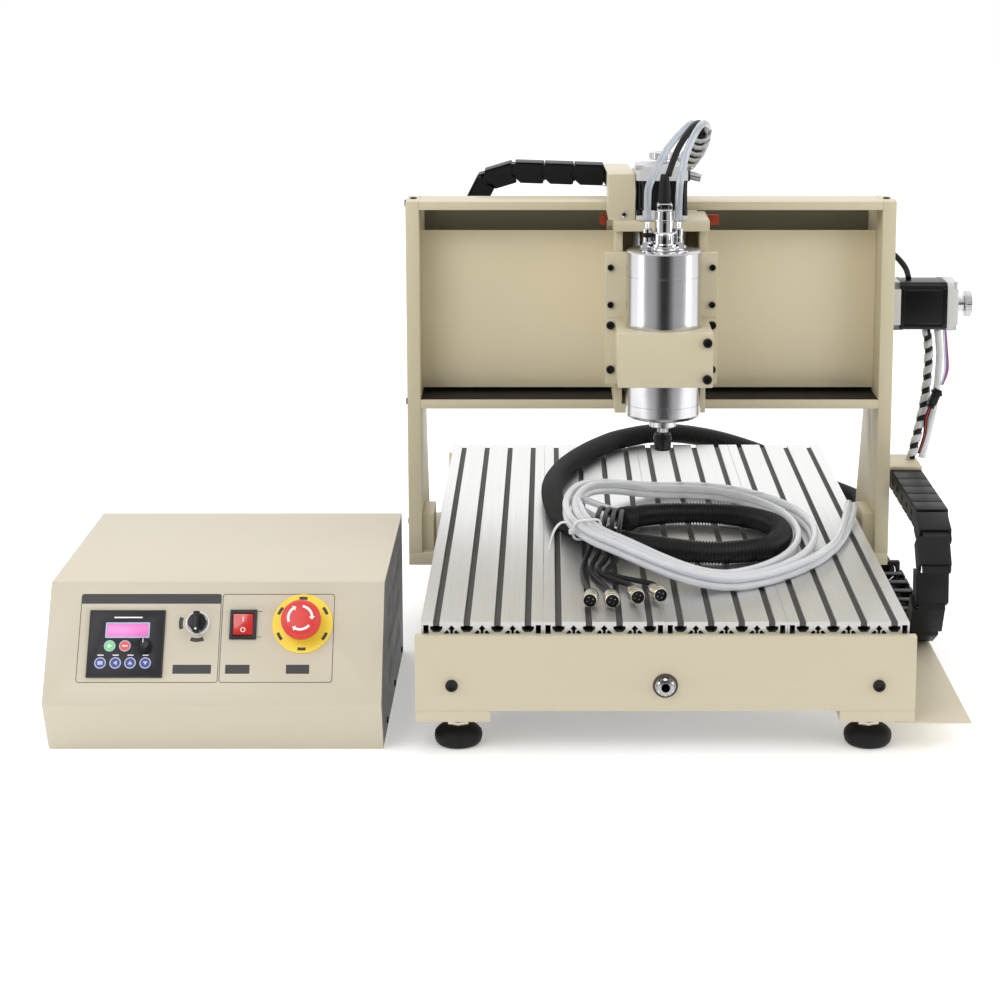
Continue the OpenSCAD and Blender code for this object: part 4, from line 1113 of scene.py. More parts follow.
def levelling_foot(name):
    """A domed rubber foot with its hexagon and threaded stud, standing on the floor."""
    rubber = turned(name, [
        (18.5, 0), (20.6, 0.8), (22.8, 3.4), (23.8, 7), (24, 10.4), (23.4, 13), (21, 16),
        (17.6, 18.6), (15, 20), (13, 20.6),
    ], 56)
    nut = turned("foot_nut", [(11, 20.4), (11.6, 20.9), (11.6, 24.6), (11, 25)], 6)
    stud = [(5.2, 24.8)]
    for k in range(8):
        z = 25.2 + k * 1.15
        stud += [(5.2, z), (5.9, z + 0.35), (5.9, z + 0.7), (5.2, z + 1.0)]
    return rubber, nut, turned("foot_stud", stud + [(5.2, 34.6)], 28)


class ROUTER_OT_base(bpy.types.Operator):
    """Adds the levelling feet, the screw's end nut and the conduit clamp."""

    bl_idname = "router.base"
    bl_label = "Base details"

    def execute(self, context):
        rubber, nut, stud = levelling_foot("foot_pads")
        places = [Matrix.Translation(Vector((x, y, 0)) / 1000) for x in (-205, 205) for y in (-363,
                                                                                              363)]
        finished(copies(rubber, places), "base", "rubber", "leveling_feet", 40)
        finished(copies(nut, places), "base", "nickel")
        finished(copies(stud, places), "base", "nickel", (), 25)
        washer = turned("screw_end_washer", [(9.2, 0.6), (9.4, 0.9), (9.4, 1.5), (9, 1.8)], 40)
        finished(placed(washer, facing((0, -400, 72), (0, -1, 0))), "y_screw", "nickel")
        nut = turned("screw_end_nut", [(8.2, 1.5), (9.1, 2.1), (9.1, 6.0), (8.2, 6.7)], 6)
        finished(placed(nut, facing((0, -400, 72), (0, -1, 0), (1, 0, 0.6))), "y_screw", "chrome",
                 (), 20)
        tip = turned("screw_end_tip", [(5, 6), (5, 7.6), (4.4, 8)], 32)
        finished(placed(tip, facing((0, -400, 72), (0, -1, 0))), "y_screw", "knob")
        boss = turned("axis_boss", [(12.4, 0), (12.4, 0.4), (11.8, 0.6), (8, 0.6)], 48)
        finished(placed(boss, facing((0, -399.9, 72), (0, -1, 0))), "base", "seal")
        clamp = bevelled(block("conduit_clamp", (268, 75, 35), (302, 84, 64)), 1.5, 3)
        bore = turned("bore", [(13, -10), (13, 10)], 40)
        cut(clamp, placed(bore, facing((285, 80, 50), (0, 1, 0))))
        finished(clamp, "base", "plastic")
        return {"FINISHED"}


# ---------------------------------------------------------------- motors and hand knobs


def cut_square(width, corner):
    """An outline of a square with its corners cut off."""
    h = width / 2
    c = h - corner
    return [(-c, -h), (c, -h), (h, -c), (h, c), (c, h), (-c, h), (-h, c), (-h, -c)]


def slab(name, outline, low, high, edge=0.4):
    """An outline in XY pulled up from low to high."""
    piece = sheet_cut(name, [outline], high - low)
    placed(piece, Matrix.Translation((0, 0, (low + high) / 2000)))
    return bevelled(piece, edge) if edge else piece


def motor(name, place, body, front=17.5, middle=54, rear=12.5, node=None):
    """A square stepper: two cast bells with corner sockets, a lacquered stack and its flange."""
    top = front + middle + rear
    outline = cut_square(56.4, 4)
    bells = [slab(name + "_front", outline, 0, front, 0.6)]
    bells.append(slab(name + "_rear", outline, front + middle, top, 0.6))
    corners = [(sx * 23.57, sy * 23.57) for sx in (-1, 1) for sy in (-1, 1)]
    for bell, low, high in ((bells[0], 5.5, front + 1), (bells[1], top - 5, top + 1)):
        recess = turned("recess", [(5.3, low), (5.3, high)], 24)
        places = [Matrix.Translation((x / 1000, y / 1000, 0)) for x, y in corners]
        cut(bell, copies(recess, places))
    collar = turned("collar", [(19, top - 0.1), (19, top + 0.7), (18.4, top + 1), (6, top + 1)], 48)
    cast = joined(name + "_bells", *bells, collar)
    finished(placed(cast, place), body, "cast", node)
    stack = slab(name + "_stack", cut_square(55.6, 9), front, front + middle, 0.5)
    rim = slab(name + "_rim", cut_square(56, 7.4), front + middle * 0.9, front + middle - 0.4, 0.2)
    low_rim = slab(name + "_low_rim", cut_square(56, 7.4), front + 0.4, front + middle * 0.08, 0.2)
    stack = joined(name + "_stack", stack, rim, low_rim)
    finished(placed(stack, place), body, "motor")
    bolts = cap_screw("bolt", 8.4, 4.5)
    bolts = copies(bolts, [Matrix.Translation((x / 1000, y / 1000, 0.0055)) for x, y in corners])
    rods = turned("rod", [(2.2, front), (2.2, front + middle)], 16)
    rods = copies(rods, [
        Matrix.Translation((x / 1000, y / 1000, 0)) for x, y in
        [(sx * 23.4, sy * 23.4) for sx in (-1, 1) for sy in (-1, 1)]
    ])
    fixings = joined(name + "_bolts", bolts, rods)
    finished(placed(fixings, place), body, "screw")


def knob(name, place, body, node, hub=(8.75, 10), rim=(15, 8), grooves=36):
    """A turned hand knob, its rim cut with fine grips and its hub pinned by a set screw."""
    r, l = hub
    low, high = l, l + rim[1]
    handle = turned("knob", [
        (r - 0.4, 0), (r, 0.4), (r, low - 0.6), (r * 0.86, low - 0.2), (rim[0] - 0.8, low),
        (rim[0], low + 0.8), (rim[0], high - 0.8), (rim[0] - 0.8, high), (r + 0.5, high),
        (r - 0.2, high - 0.7), (4, high - 0.7), (3.8, high - 1.6),
    ], 72)
    groove = turned("groove", [(0.55, low - 1), (0.55, high + 1)], 8)
    groove.matrix_world = Matrix.Identity(4)
    cutters = copies(groove, [
        Matrix.Rotation(k * math.tau / grooves, 4,
                        "Z") @ Matrix.Translation((rim[0] / 1000 + 0.0002, 0, 0))
        for k in range(grooves)
    ])
    cut(handle, cutters)
    set_screw = turned("set", [(1.5, -0.3), (1.5, 0.2), (0.8, 0.2), (0.7, -0.4)], 16)
    placed(set_screw, facing((r - 0.2, 0, l * 0.5), (1, 0, 0)))
    placed(handle, place)
    handle.name = name
    finished(handle, body, "knob", node)
    set_screw.name = name + "_set_screw"
    finished(placed(set_screw, place), body, "screw")


class ROUTER_OT_motors(bpy.types.Operator):
    """Builds the three stepper motors and the hand knobs on their shafts."""

    bl_idname = "router.motors"
    bl_label = "Motors and hand knobs"

    def execute(self, context):
        y_place = facing((0, 400, 72), (0, 1, 0))
        x_place = facing((275.5, 92, 371.5), (1, 0, 0))
        z_place = facing((8, -60, 492), (0, 0, 1), (0, 1, 0))
        motor("y_motor", y_place, "base", node="y_motor")
        motor("x_motor", x_place, "gantry", node="x_motor")
        motor("z_motor", z_place, "carriage", 11, 32, 16, node="z_motor")
        knob("y_knob", facing((0, 485, 72), (0, 1, 0)), "y_screw", "y_handwheel")
        knob("x_knob", facing((360.5, 92, 371.5), (1, 0, 0)), "x_screw", "x_handwheel")
        knob("z_knob", facing((8, -60, 552), (0, 0, 1), (0, 1, 0)), "z_screw", "z_handwheel",
             (6, 4), (13, 8), 30)
        sleeve = turned("motor_lead_sleeve",
                        [(4.2, 0), (4.5, 0.4), (4.5, 17), (4.1, 17.4), (3.2, 17.4), (3.1, 14)], 28)
        finished(placed(sleeve, facing((34, -74, 541), (1, -0.1, -0.25))), "carriage", "knob")
        boot = bevelled(block("motor_lead_boot", (34, -82, 534), (38.5, -66, 546)), 1)
        finished(boot, "carriage", "motor")
        return {"FINISHED"}


# ---------------------------------------------------------------- drag chains

LINK = 35
LINK_WIDE = 34.6
LINK_HIGH = 24


def chain_link(name):
    """One link along X, its closed cover up: side cheeks with ears, cover plate and inner rung."""
    h, w = LINK_HIGH / 2, LINK_WIDE / 2
    cheek = sheet_cut("cheek", [[
        (-17, -h + 1.5), (-15.5, -h), (10, -h), (17, -h + 6), (20.5, -4), (22, 0), (20.5, 4),
        (17, h - 3), (17, h), (-17, h),
    ]], 2.6)
    bevelled(cheek, 0.4, 1)
    upright = Matrix.Rotation(math.radians(90), 4, "X")
    cheeks = copies(cheek, [Matrix.Translation((0, s * (w - 1.3) / 1000,
                                                0)) @ upright for s in (-1, 1)])
    inner = sheet_cut("ear", [[
        (-21, -5), (-18, -8.5), (-12, -8.5), (-12, 8.5), (-18, 8.5), (-21, 5),
    ]], 2.2)
    ears = copies(inner, [Matrix.Translation((0, s * (w - 3.8) / 1000, 0)) @ upright for s in (-1,
                                                                                               1)])
    pin = turned("pin", [(3.6, 0), (3.6, 0.5), (3.1, 0.9), (1.6, 0.9), (1.5, 0.3)], 18)
    pins = copies(pin, [facing((17, s * (w - 0.2), 0), (0, s, 0)) for s in (-1, 1)])
    cover = block("cover", (-16.4, -w, h - 2.2), (16.4, w, h + 0.4), 0.6)
    lip = block("lip", (-16, -w + 3, h - 4), (25.5, w - 3, h - 2.4))
    rung = block("rung", (-10, -w + 1, -h), (2, w - 1, -h + 2.2), 0.6)
    return joined(name, cheeks, ears, pins, cover, lip, rung)


def y_chain_place(s):
    """Along, height and pitch of the Y chain s millimetres from the gantry's end."""
    high, low, bend = 169.5, 46.5, -130
    radius = (high - low) / 2
    past = s - (110 - bend)
    turn = past / radius
    if past < 0:
        return 110 - s, high, 0.0
    if past < math.pi * radius:
        return bend - radius * math.sin(turn), (high + low) / 2 + radius * math.cos(turn), turn
    return bend + past - math.pi * radius, low, math.pi


def x_chain_place(s):
    """Along, height and pitch of the X chain s millimetres from the carriage's end."""
    start, bend, low, radius, rise = -50, -160, 435, 43, 3.6
    upper = math.hypot(start - bend, rise)
    past = s - upper
    turn = past / radius
    if past < 0:
        k = s / upper
        return start + (bend - start) * k, low + 2 * radius - rise * (1 - k), 0.0
    if past < math.pi * radius:
        return bend - radius * math.sin(turn), low + radius + radius * math.cos(turn), turn
    return bend + past - math.pi * radius, low, math.pi


def link_places(place_at, count, point, ahead_of):
    """Placing matrices for the links: each spans the chord between its two hinge points."""
    made = []
    for i in range(count):
        a, b = place_at(i * LINK), place_at((i + 1) * LINK)
        middle = ((a[0] + b[0]) / 2, (a[1] + b[1]) / 2)
        along = (b[0] - a[0], b[1] - a[1])
        length = math.hypot(*along)
        d = (along[0] / length, along[1] / length)
        x, z = ahead_of(*d), ahead_of(-d[1] * SIDE, d[0] * SIDE)
        y = Vector(z).cross(Vector(x))
        turn = Matrix((x, y, z)).transposed().to_4x4()
        made.append(Matrix.Translation(Vector(point(i, *middle)) / 1000) @ turn
                    @ Matrix.Diagonal((length / LINK, 1, 1, 1)))
    return made


SIDE = -1  # the closed cover lies on the outside of the bend


def y_chain_across(s):
    """Where the Y chain lies across the machine: the bend leans from the upper to the lower run."""
    k = min(1, max(0, (s - 240) / (math.pi * 61.5)))
    return 302.5 - 18 * k


class ROUTER_OT_chains(bpy.types.Operator):
    """Builds both drag chains link by link, each laid in a bend between its two ends."""

    bl_idname = "router.chains"
    bl_label = "Drag chains"

    def execute(self, context):
        places = link_places(
            y_chain_place, 18, lambda i, y, z: (y_chain_across((i + 0.5) * LINK), y, z),
            lambda a, b: Vector((0, a, b)),
        )
        chain = copies(chain_link("y_chain_links"), places)
        finished(chain, None, "plastic", "y_drag_chain")
        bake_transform(chain)
        places = link_places(
            x_chain_place, 12, lambda i, x, z: (x, 147.5, z), lambda a, b: Vector((a, 0, b))
        )
        chain = copies(chain_link("x_chain_links"), places)
        finished(chain, None, "plastic", "x_drag_chain")
        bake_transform(chain)
        return {"FINISHED"}


# ---------------------------------------------------------------- gantry


def wire(name, points, radius, finish, body, stands_for=(), sides=10):
    piece = swept(name, smooth_line(points, 3), radius, sides)
    return dressed(piece, body, finish, stands_for)


class ROUTER_OT_gantry(bpy.types.Operator):
    """Adds the cables beside the X motor, the red wipers and the bracket's screws."""

    bl_idname = "router.gantry"
    bl_label = "Gantry details"

    def execute(self, context):
        route = [(330.5, 106, 338), (335.5, 116, 300), (329.5, 108, 245), (313.5, 88, 187)]
        line = smooth_line(route, 3)
        cable = swept("x_cable", line, 4.4, 14)
        dressed(cable, "gantry", "cable", "x_cable_bundle")
        band = spiral_wrap("x_cable_wrap", line, 4.6, 17, 9.5, 1.0)
        dressed(band, "gantry", "wrap")
        white = [(p[0] + 13, p[1] + 2, p[2]) for p in route]
        wire("x_white_hose", white, 4.2, "wrap", "gantry", (), 14)
        motor_lead = [(279.5, 128, 431.5), (293.5, 120, 423.5), (303.5, 106, 411.5),
                      (305.5, 92, 401)]
        wire("x_motor_lead", motor_lead, 3.5, "cable", "gantry")
        for i, (finish, dx) in enumerate((("white_wire", 0), ("blue_wire", 1.9),
                                          ("red_wire", 3.6))):
            wire(f"x_motor_wire_{i}", [
                (347 + dx * 0.7, 86 + i, 343), (349 + dx, 88 + i, 318), (351 + dx, 92, 292),
                (347 + dx * 0.6, 94, 274),
            ], 1.0, finish, "gantry", (), 8)
            wire(f"x_motor_tail_{i}", [
                (334 + dx * 0.7, 96, 246), (330 + dx * 0.8, 97, 232), (329 + dx * 0.5, 95, 214),
                (322 + dx * 0.5, 90, 192),
            ], 1.0, ("cable", "red_wire", "cable")[i], "gantry", (), 8)
        plug = joined(
            "x_motor_connector",
            block("plug_body", (-5, -4, -10), (5, 4, 9), 0.8),
            block("plug_wing", (-6.4, -4.6, 3), (6.4, 4.6, 6), 0.5),
            block("plug_back", (-4, -3, -15), (4, 3, -10), 0.6),
        )
        finished(placed(plug, facing((341, 95, 260), (0.42, 0, 1), (0, 1, 0))), "gantry", "switch")
        # A dark olive sheet against the rear cover inside the beam: painted shade for the shaded
        # recess above and below the dust panel
        recess_shade = block("beam_recess_shade", (-260, 118.6, 276), (260, 119.8, 492))
        finished(recess_shade, "gantry", "recess_shade")
        # A thin black sheet in the rubber finish on the beam's bottom plate: painted shade for the
        # shaded top of that plate
        mat = block("beam_floor_shade", (-260, 4, 275), (260, 117, 275.5))
        finished(mat, "gantry", "rubber")
        for name, low, high in (
            ("left_wiper", (-56, 46, 470), (-49, 54, 482)),
            ("right_wiper", (66, 46, 470), (80, 54, 481)),
        ):
            finished(block(name, low, high, 0.8), "carriage", "felt")
        for i, x in enumerate((-33.6, -23.5)):
            head = turned("bracket_screw", [(2.6, 0), (3, 0.5), (2.6, 1.3), (1.4, 1.7)], 24)
            cut(head, block("a", (-2.4, -0.4, 1), (2.4, 0.4, 3)),
                block("b", (-0.4, -2.4, 1), (0.4, 2.4, 3)))
            head.name = f"bracket_screw_{i}"
            finished(placed(head, facing((x, 100, 530.5), (0, 0.06, 1), (0, 1, 0))), "carriage",
                     "chrome")
        head = turned("bracket_front_screw", [(3.4, 0), (3.8, 0.6), (3.2, 1.7), (1.6, 2.2)], 28)
        cut(head, block("a", (-2.8, -0.5, 1.2), (2.8, 0.5, 4)),
            block("b", (-0.5, -2.8, 1.2), (0.5, 2.8, 4)))
        finished(placed(head, facing((-32.6, -85, 498), (0, -1, 0))), "carriage", "chrome")
        return {"FINISHED"}


# ---------------------------------------------------------------- head

SPINDLE = (8, -142)
HOSE_MIDDLE = [
    (8, -143, 499), (8, -143, 516), (10, -142, 540), (23, -127, 574), (42, -96, 596),
    (52, -56, 590), (50, -10, 564), (36, 44, 538), (8, 96, 521), (-20, 132, 515), (-46, 147, 514),
]
BARBS = (-18, 15)


def make_spindle():
    """The water-cooled spindle: turned body with its seams, cap, nose, and the collet nut."""
    x, y = SPINDLE
    place = Matrix.Translation((x / 1000, y / 1000, 0))
    body = turned("spindle_shell", [
        (13.6, 276), (14.5, 277), (14.5, 286.6), (27, 287), (36, 287.2), (38, 288.2), (40, 291.4),
        (40, 302), (39.6, 302.2), (39.6, 302.6), (40, 302.8), (40, 440.4), (39.5, 440.6),
        (39.5, 441), (40, 441.2), (40, 466.4), (39.2, 467.6), (38.4, 468), (20, 468), (19.4, 467.8),
    ], 96)
    finished(placed(body, place), "head", "spindle", "spindle_body", 28)
    bolts = copies(cap_screw("cap_bolts", 6.4, 1.6), [
        facing((x + 30.5 * math.cos(a), y + 30.5 * math.sin(a), 468), (0, 0, 1), (0, 1, 0))
        for a in (math.radians(45 + 90 * k) for k in range(4))
    ])
    finished(bolts, "head", "chrome")
    # Thin near-black discs on the nose: painted shade for the depth of its spanner holes
    holes = copies(turned("nose_holes", [(2.2, 286.9), (2.2, 287.05), (1.9, 287.1)], 16), [
        place @ Matrix.Rotation(k * math.tau / 4 + 0.4, 4,
                                "Z") @ Matrix.Translation((0.0215, 0, -0.00025))
        for k in range(4)
    ])
    finished(holes, "head", "hollow")
    nut = turned("nut", [
        (6.4, 250.4), (7.6, 250), (8.6, 250.6), (9.5, 252.4), (9.5, 255), (9.1, 255.4),
        (9.1, 255.8),
        (9.9, 256.2), (9.9, 263.4), (9.1, 263.9), (9.1, 264.3), (9.5, 264.8), (9.5, 266),
        (8.4, 266.4), (8.4, 268.8),
    ], 48)
    flat = block("flat", (8.9, -3.4, 252), (12, 3.4, 262), 0.4)
    flats = copies(flat, [Matrix.Rotation(k * math.tau / 6, 4, "Z") for k in range(6)])
    cut(nut, flats)
    nut.name = "collet_nut_ground"
    finished(placed(nut, place), "rotor", "nut", "collet_nut")
    collet = turned("collet", [(3.1, 249.8), (5.9, 249.6), (6.2, 250.6)], 32)
    # Thin near-black blocks in the collet's slits: painted shade for the gaps
    slit = block("slit", (2.4, -0.25, 249.7), (6.6, 0.25, 249.9))
    slits = copies(slit, [Matrix.Rotation(k * math.tau / 8, 4, "Z") for k in range(8)])
    finished(placed(collet, place), "rotor", "rotor")
    finished(placed(slits, place), "rotor", "hollow")


def make_fittings():
    """The chrome power connector with its strain clamp, and the two barbed water fittings."""
    x, y = SPINDLE
    place = Matrix.Translation((x / 1000, y / 1000, 0.468))
    connector = turned("power_connector", [
        (17, 0), (17.2, 0.6), (17.2, 3.2), (15, 4), (15, 6.4), (12.5, 7), (12.5, 17.6), (12, 18.4),
        (10.4, 19.4), (10.4, 30), (10.9, 30.4), (10.9, 32), (10.4, 32.4), (10, 41.4), (9, 42),
    ], 56)
    ridge = block("grip", (12.2, -0.45, 8.2), (12.95, 0.45, 16.6))
    ridges = copies(ridge, [Matrix.Rotation(k * math.tau / 30, 4, "Z") for k in range(30)])
    jaws = [
        bevelled(block("jaw", (-8, -9.4, 42), (8, -1, 50)), 1.4, 3),
        bevelled(block("jaw", (-8, 1, 42), (8, 9.4, 50)), 1.4, 3),
    ]
    connector = joined("power_connector", connector, ridges, *jaws)
    finished(placed(connector, place), "head", "chrome", "spindle_fittings")
    clamp_screws = joined("strain_screws", *[
        placed(cap_screw("strain", 4.6, 1.8), facing((s * 5.6, -9.4, 46), (0, -1, 0))) for s in (-1,
                                                                                                 1)
    ])
    finished(placed(clamp_screws, place), "head", "nickel")
    gland = turned("cable_boot",
                   [(6.4, 49), (6.6, 50), (6.2, 62), (5.2, 74), (4.2, 80), (3.9, 80.4)], 28)
    finished(placed(gland, place), "head", "cable")
    for i, bx in enumerate(BARBS):
        spot = place @ Matrix.Translation((bx / 1000, -0.002, 0))
        hexagon = turned("hexagon", [(5.6, 0), (6, 0.5), (6, 8.2), (5.4, 9)], 6)
        stem = [(4.7, 9), (4.7, 13.4), (4.2, 14), (4.2, 15), (4.9, 15.6), (4.9, 22.4), (4.4, 23)]
        for k in range(3):
            z = 23.2 + k * 2.4
            stem += [(2.7, z), (3.4, z + 0.4), (2.7, z + 2.1)]
        fitting = joined(f"water_fitting_{i}", hexagon, turned("stem", stem, 28))
        finished(placed(fitting, spot), "head", "chrome")
    ring = turned("fitting_ring", [(4.4, 14), (5.4, 14.3), (5.4, 18.4), (4.4, 18.8)], 32)
    finished(placed(ring, place @ Matrix.Translation((BARBS[0] / 1000, -0.002, 0))), "head",
             "screw")


def make_hoses():
    """The spindle's two water hoses and its cable, bundled over to the X chain's bracket."""
    middle = smooth_line(HOSE_MIDDLE, 3)
    run = np.linspace(0, 1, len(middle))
    near = np.clip(run * 5 - 0.4, 0, 1)
    parts = []
    for i, start in enumerate(BARBS):
        to = (-1, 1)[i] * 6.4
        across = np.array([1.0, 0, 0])
        shift = across * ((start * (1 - near) + to * near)[:, None])
        hose = swept(f"spindle_hose_{i}", middle + shift, 3.9, 16)
        parts.append((hose, "hose", "hose_bundle" if i == 0 else ()))
    start = int(len(middle) * 0.12)
    cable = swept("spindle_cable", middle[start:] + np.array([0, -1.5, 0.5]), 3.5, 14)
    parts.append((cable, "cable", ()))
    wrapped = middle[int(len(middle) * 0.42):]
    band = spiral_wrap("spindle_wrap", wrapped, 10.6, 17, 9, 0.9)
    parts.append((band, "wrap", ()))
    core = swept("bundle_core", wrapped, np.clip(np.linspace(6, 10.4, len(wrapped)), 0, 10.2), 16)
    parts.append((core, "cable", ()))
    for piece, finish, node in parts:
        dressed(piece, None, finish, node)
        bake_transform(piece)


class ROUTER_OT_head(bpy.types.Operator):
    """Builds the spindle, its fittings and the hoses that lead to the X drag chain."""

    bl_idname = "router.head"
    bl_label = "Spindle and hoses"

    def execute(self, context):
        make_spindle()
        make_fittings()
        make_hoses()
        return {"FINISHED"}


# ---------------------------------------------------------------- control box

BOX_LEFT = -612
PANEL_LOW = (-405, 53)
PANEL_TILT = math.atan2(107, 66)


def on_panel(u, v, out=0.0):
    """A placing matrix on the sloping panel: u along it, v up it, out of it, in millimetres."""
    base = Vector((BOX_LEFT, *PANEL_LOW)) / 1000
    turn = Matrix.Rotation(PANEL_TILT, 4, "X")
    return Matrix.Translation(base) @ turn @ Matrix.Translation((u / 1000, v / 1000, out / 1000))


def printed(name, outlines, finish, where=(0, 0), out=0.06, thick=0.12, body="base", place=None):
    """A thin printed mark on the panel, its first outline filled and the others left clear."""
    mark = sheet_cut(name, outlines, thick)
    placed(mark, place or on_panel(*where, out))
    return finished(mark, body, finish, (), 0)


def rectangle(u0, v0, u1, v1, corner=0.0, steps=4):
    """A rectangle's outline, its corners rounded."""
    if not corner:
        return [(u0, v0), (u1, v0), (u1, v1), (u0, v1)]
    made = []
    for cx, cy, start in ((u1 - corner, v0 + corner, -90), (u1 - corner, v1 - corner, 0),
                          (u0 + corner, v1 - corner, 90), (u0 + corner, v0 + corner, 180)):
        for k in range(steps + 1):
            a = math.radians(start + 90 * k / steps)
            made.append((cx + corner * math.cos(a), cy + corner * math.sin(a)))
    return made


def disc(radius, steps=40, middle=(0, 0)):
    return [
        (middle[0] + radius * math.cos(k * math.tau / steps),
         middle[1] + radius * math.sin(k * math.tau / steps)) for k in range(steps)
    ]


def arc_band(inner, outer, start, end, steps=14, arrow=0.0):
    """A curved band between two radii, start to end in degrees, with an arrow if asked."""
    turn = [math.radians(start + (end - start) * k / steps) for k in range(steps + 1)]
    outside = [(outer * math.cos(a), outer * math.sin(a)) for a in turn]
    inside = [(inner * math.cos(a), inner * math.sin(a)) for a in reversed(turn)]
    tip = []
    if arrow:
        wide, ahead = (outer - inner) * 0.75, math.radians(end + math.copysign(arrow, end - start))
        a, m = math.radians(end), (inner + outer) / 2
        tip = [((outer + wide) * math.cos(a), (outer + wide) * math.sin(a)),
               (m * math.cos(ahead), m * math.sin(ahead)),
               ((inner - wide) * math.cos(a), (inner - wide) * math.sin(a))]
    return outside + tip + inside


def frame_line(name, u0, v0, u1, v1):
    """A printed rounded frame with a thin line."""
    inner = rectangle(u0 + 0.7, v0 + 0.7, u1 - 0.7, v1 - 0.7, 2.4)
    printed(name, [rectangle(u0, v0, u1, v1, 3), inner], "line")


def make_drive():
    """The drive's lit window frame, its film keys and the ridged speed knob."""
    top = 2.06
    printed("display_frame",
            [rectangle(57.6, 67.6, 101.4, 83.4, 1), rectangle(59, 69, 100, 82, 0.4)],
            "key_ring", out=top)
    printed("drive_border", [rectangle(41.6, 28.6, 115.4, 95.4, 1),
                             rectangle(42.4, 29.4, 114.6, 94.6, 0.8)],
            "switch", out=top)
    for i, u in enumerate((62.7, 77.8)):
        finish = ("green_key", "red_key")[i]
        printed(f"key_{i}_rim", [disc(5.7), disc(4.9)], "key_ring", (u, 59.6), top)
        printed(f"key_{i}", [disc(4.9)], finish, (u, 59.6), top)
        printed(f"key_{i}_mark", [rectangle(-2.6, -0.6, 2.6, 0.6) if i else
                                  [(-1.6, -2.2), (2.4, 0), (-1.6, 2.2)]], "print_white", (u, 59.6),
                                  top + 0.12)
    marks = (
        [(-2.6, -1.8), (2.6, -1.8), (2.6, 1.8), (-2.6, 1.8)],
        [(1.6, -2.4), (1.6, 2.4), (-2.2, 0)],
        [(-2.4, -1.6), (2.4, -1.6), (0, 2.2)],
        [(-2.4, 1.6), (2.4, 1.6), (0, -2.2)],
    )
    for i, u in enumerate((54.4, 69.4, 84, 99)):
        printed(f"blue_{i}_rim", [disc(5.7), disc(4.7)], "key_ring", (u, 42.4), top)
        printed(f"blue_{i}", [disc(4.7)], "blue_key", (u, 42.4), top)
        printed(f"blue_{i}_mark", [marks[i]], "key_ring", (u, 42.4), top + 0.12)
        printed(f"blue_{i}_dash", [rectangle(-3, -0.5, 3, 0.5)], "print_white", (u, 50.2), top)
    printed("drive_dash", [rectangle(-14, -0.7, 14, 0.7)], "print_white", (79.5, 88.4), top)
    knob_body = turned("speed_knob_grip", [
        (7, 2.3), (7.4, 2.7), (7.2, 5), (6.2, 5.8), (5.9, 11), (5.4, 11.5), (4.8, 11.3),
    ], 40)
    rib = block("rib", (5.9, -0.3, 5.8), (6.5, 0.3, 10.8))
    ribs = copies(rib, [Matrix.Rotation(k * math.tau / 18, 4, "Z") for k in range(18)])
    pointer = block("pointer", (-0.35, 1, 11.2), (0.35, 5.4, 11.62))
    place = on_panel(97, 59.6)
    finished(placed(joined("speed_knob_grip", knob_body, ribs), place), "speed_dial", "switch",
             "speed_knob")
    pointer.name = "speed_knob_pointer"
    finished(placed(pointer, place), "speed_dial", "print_white")


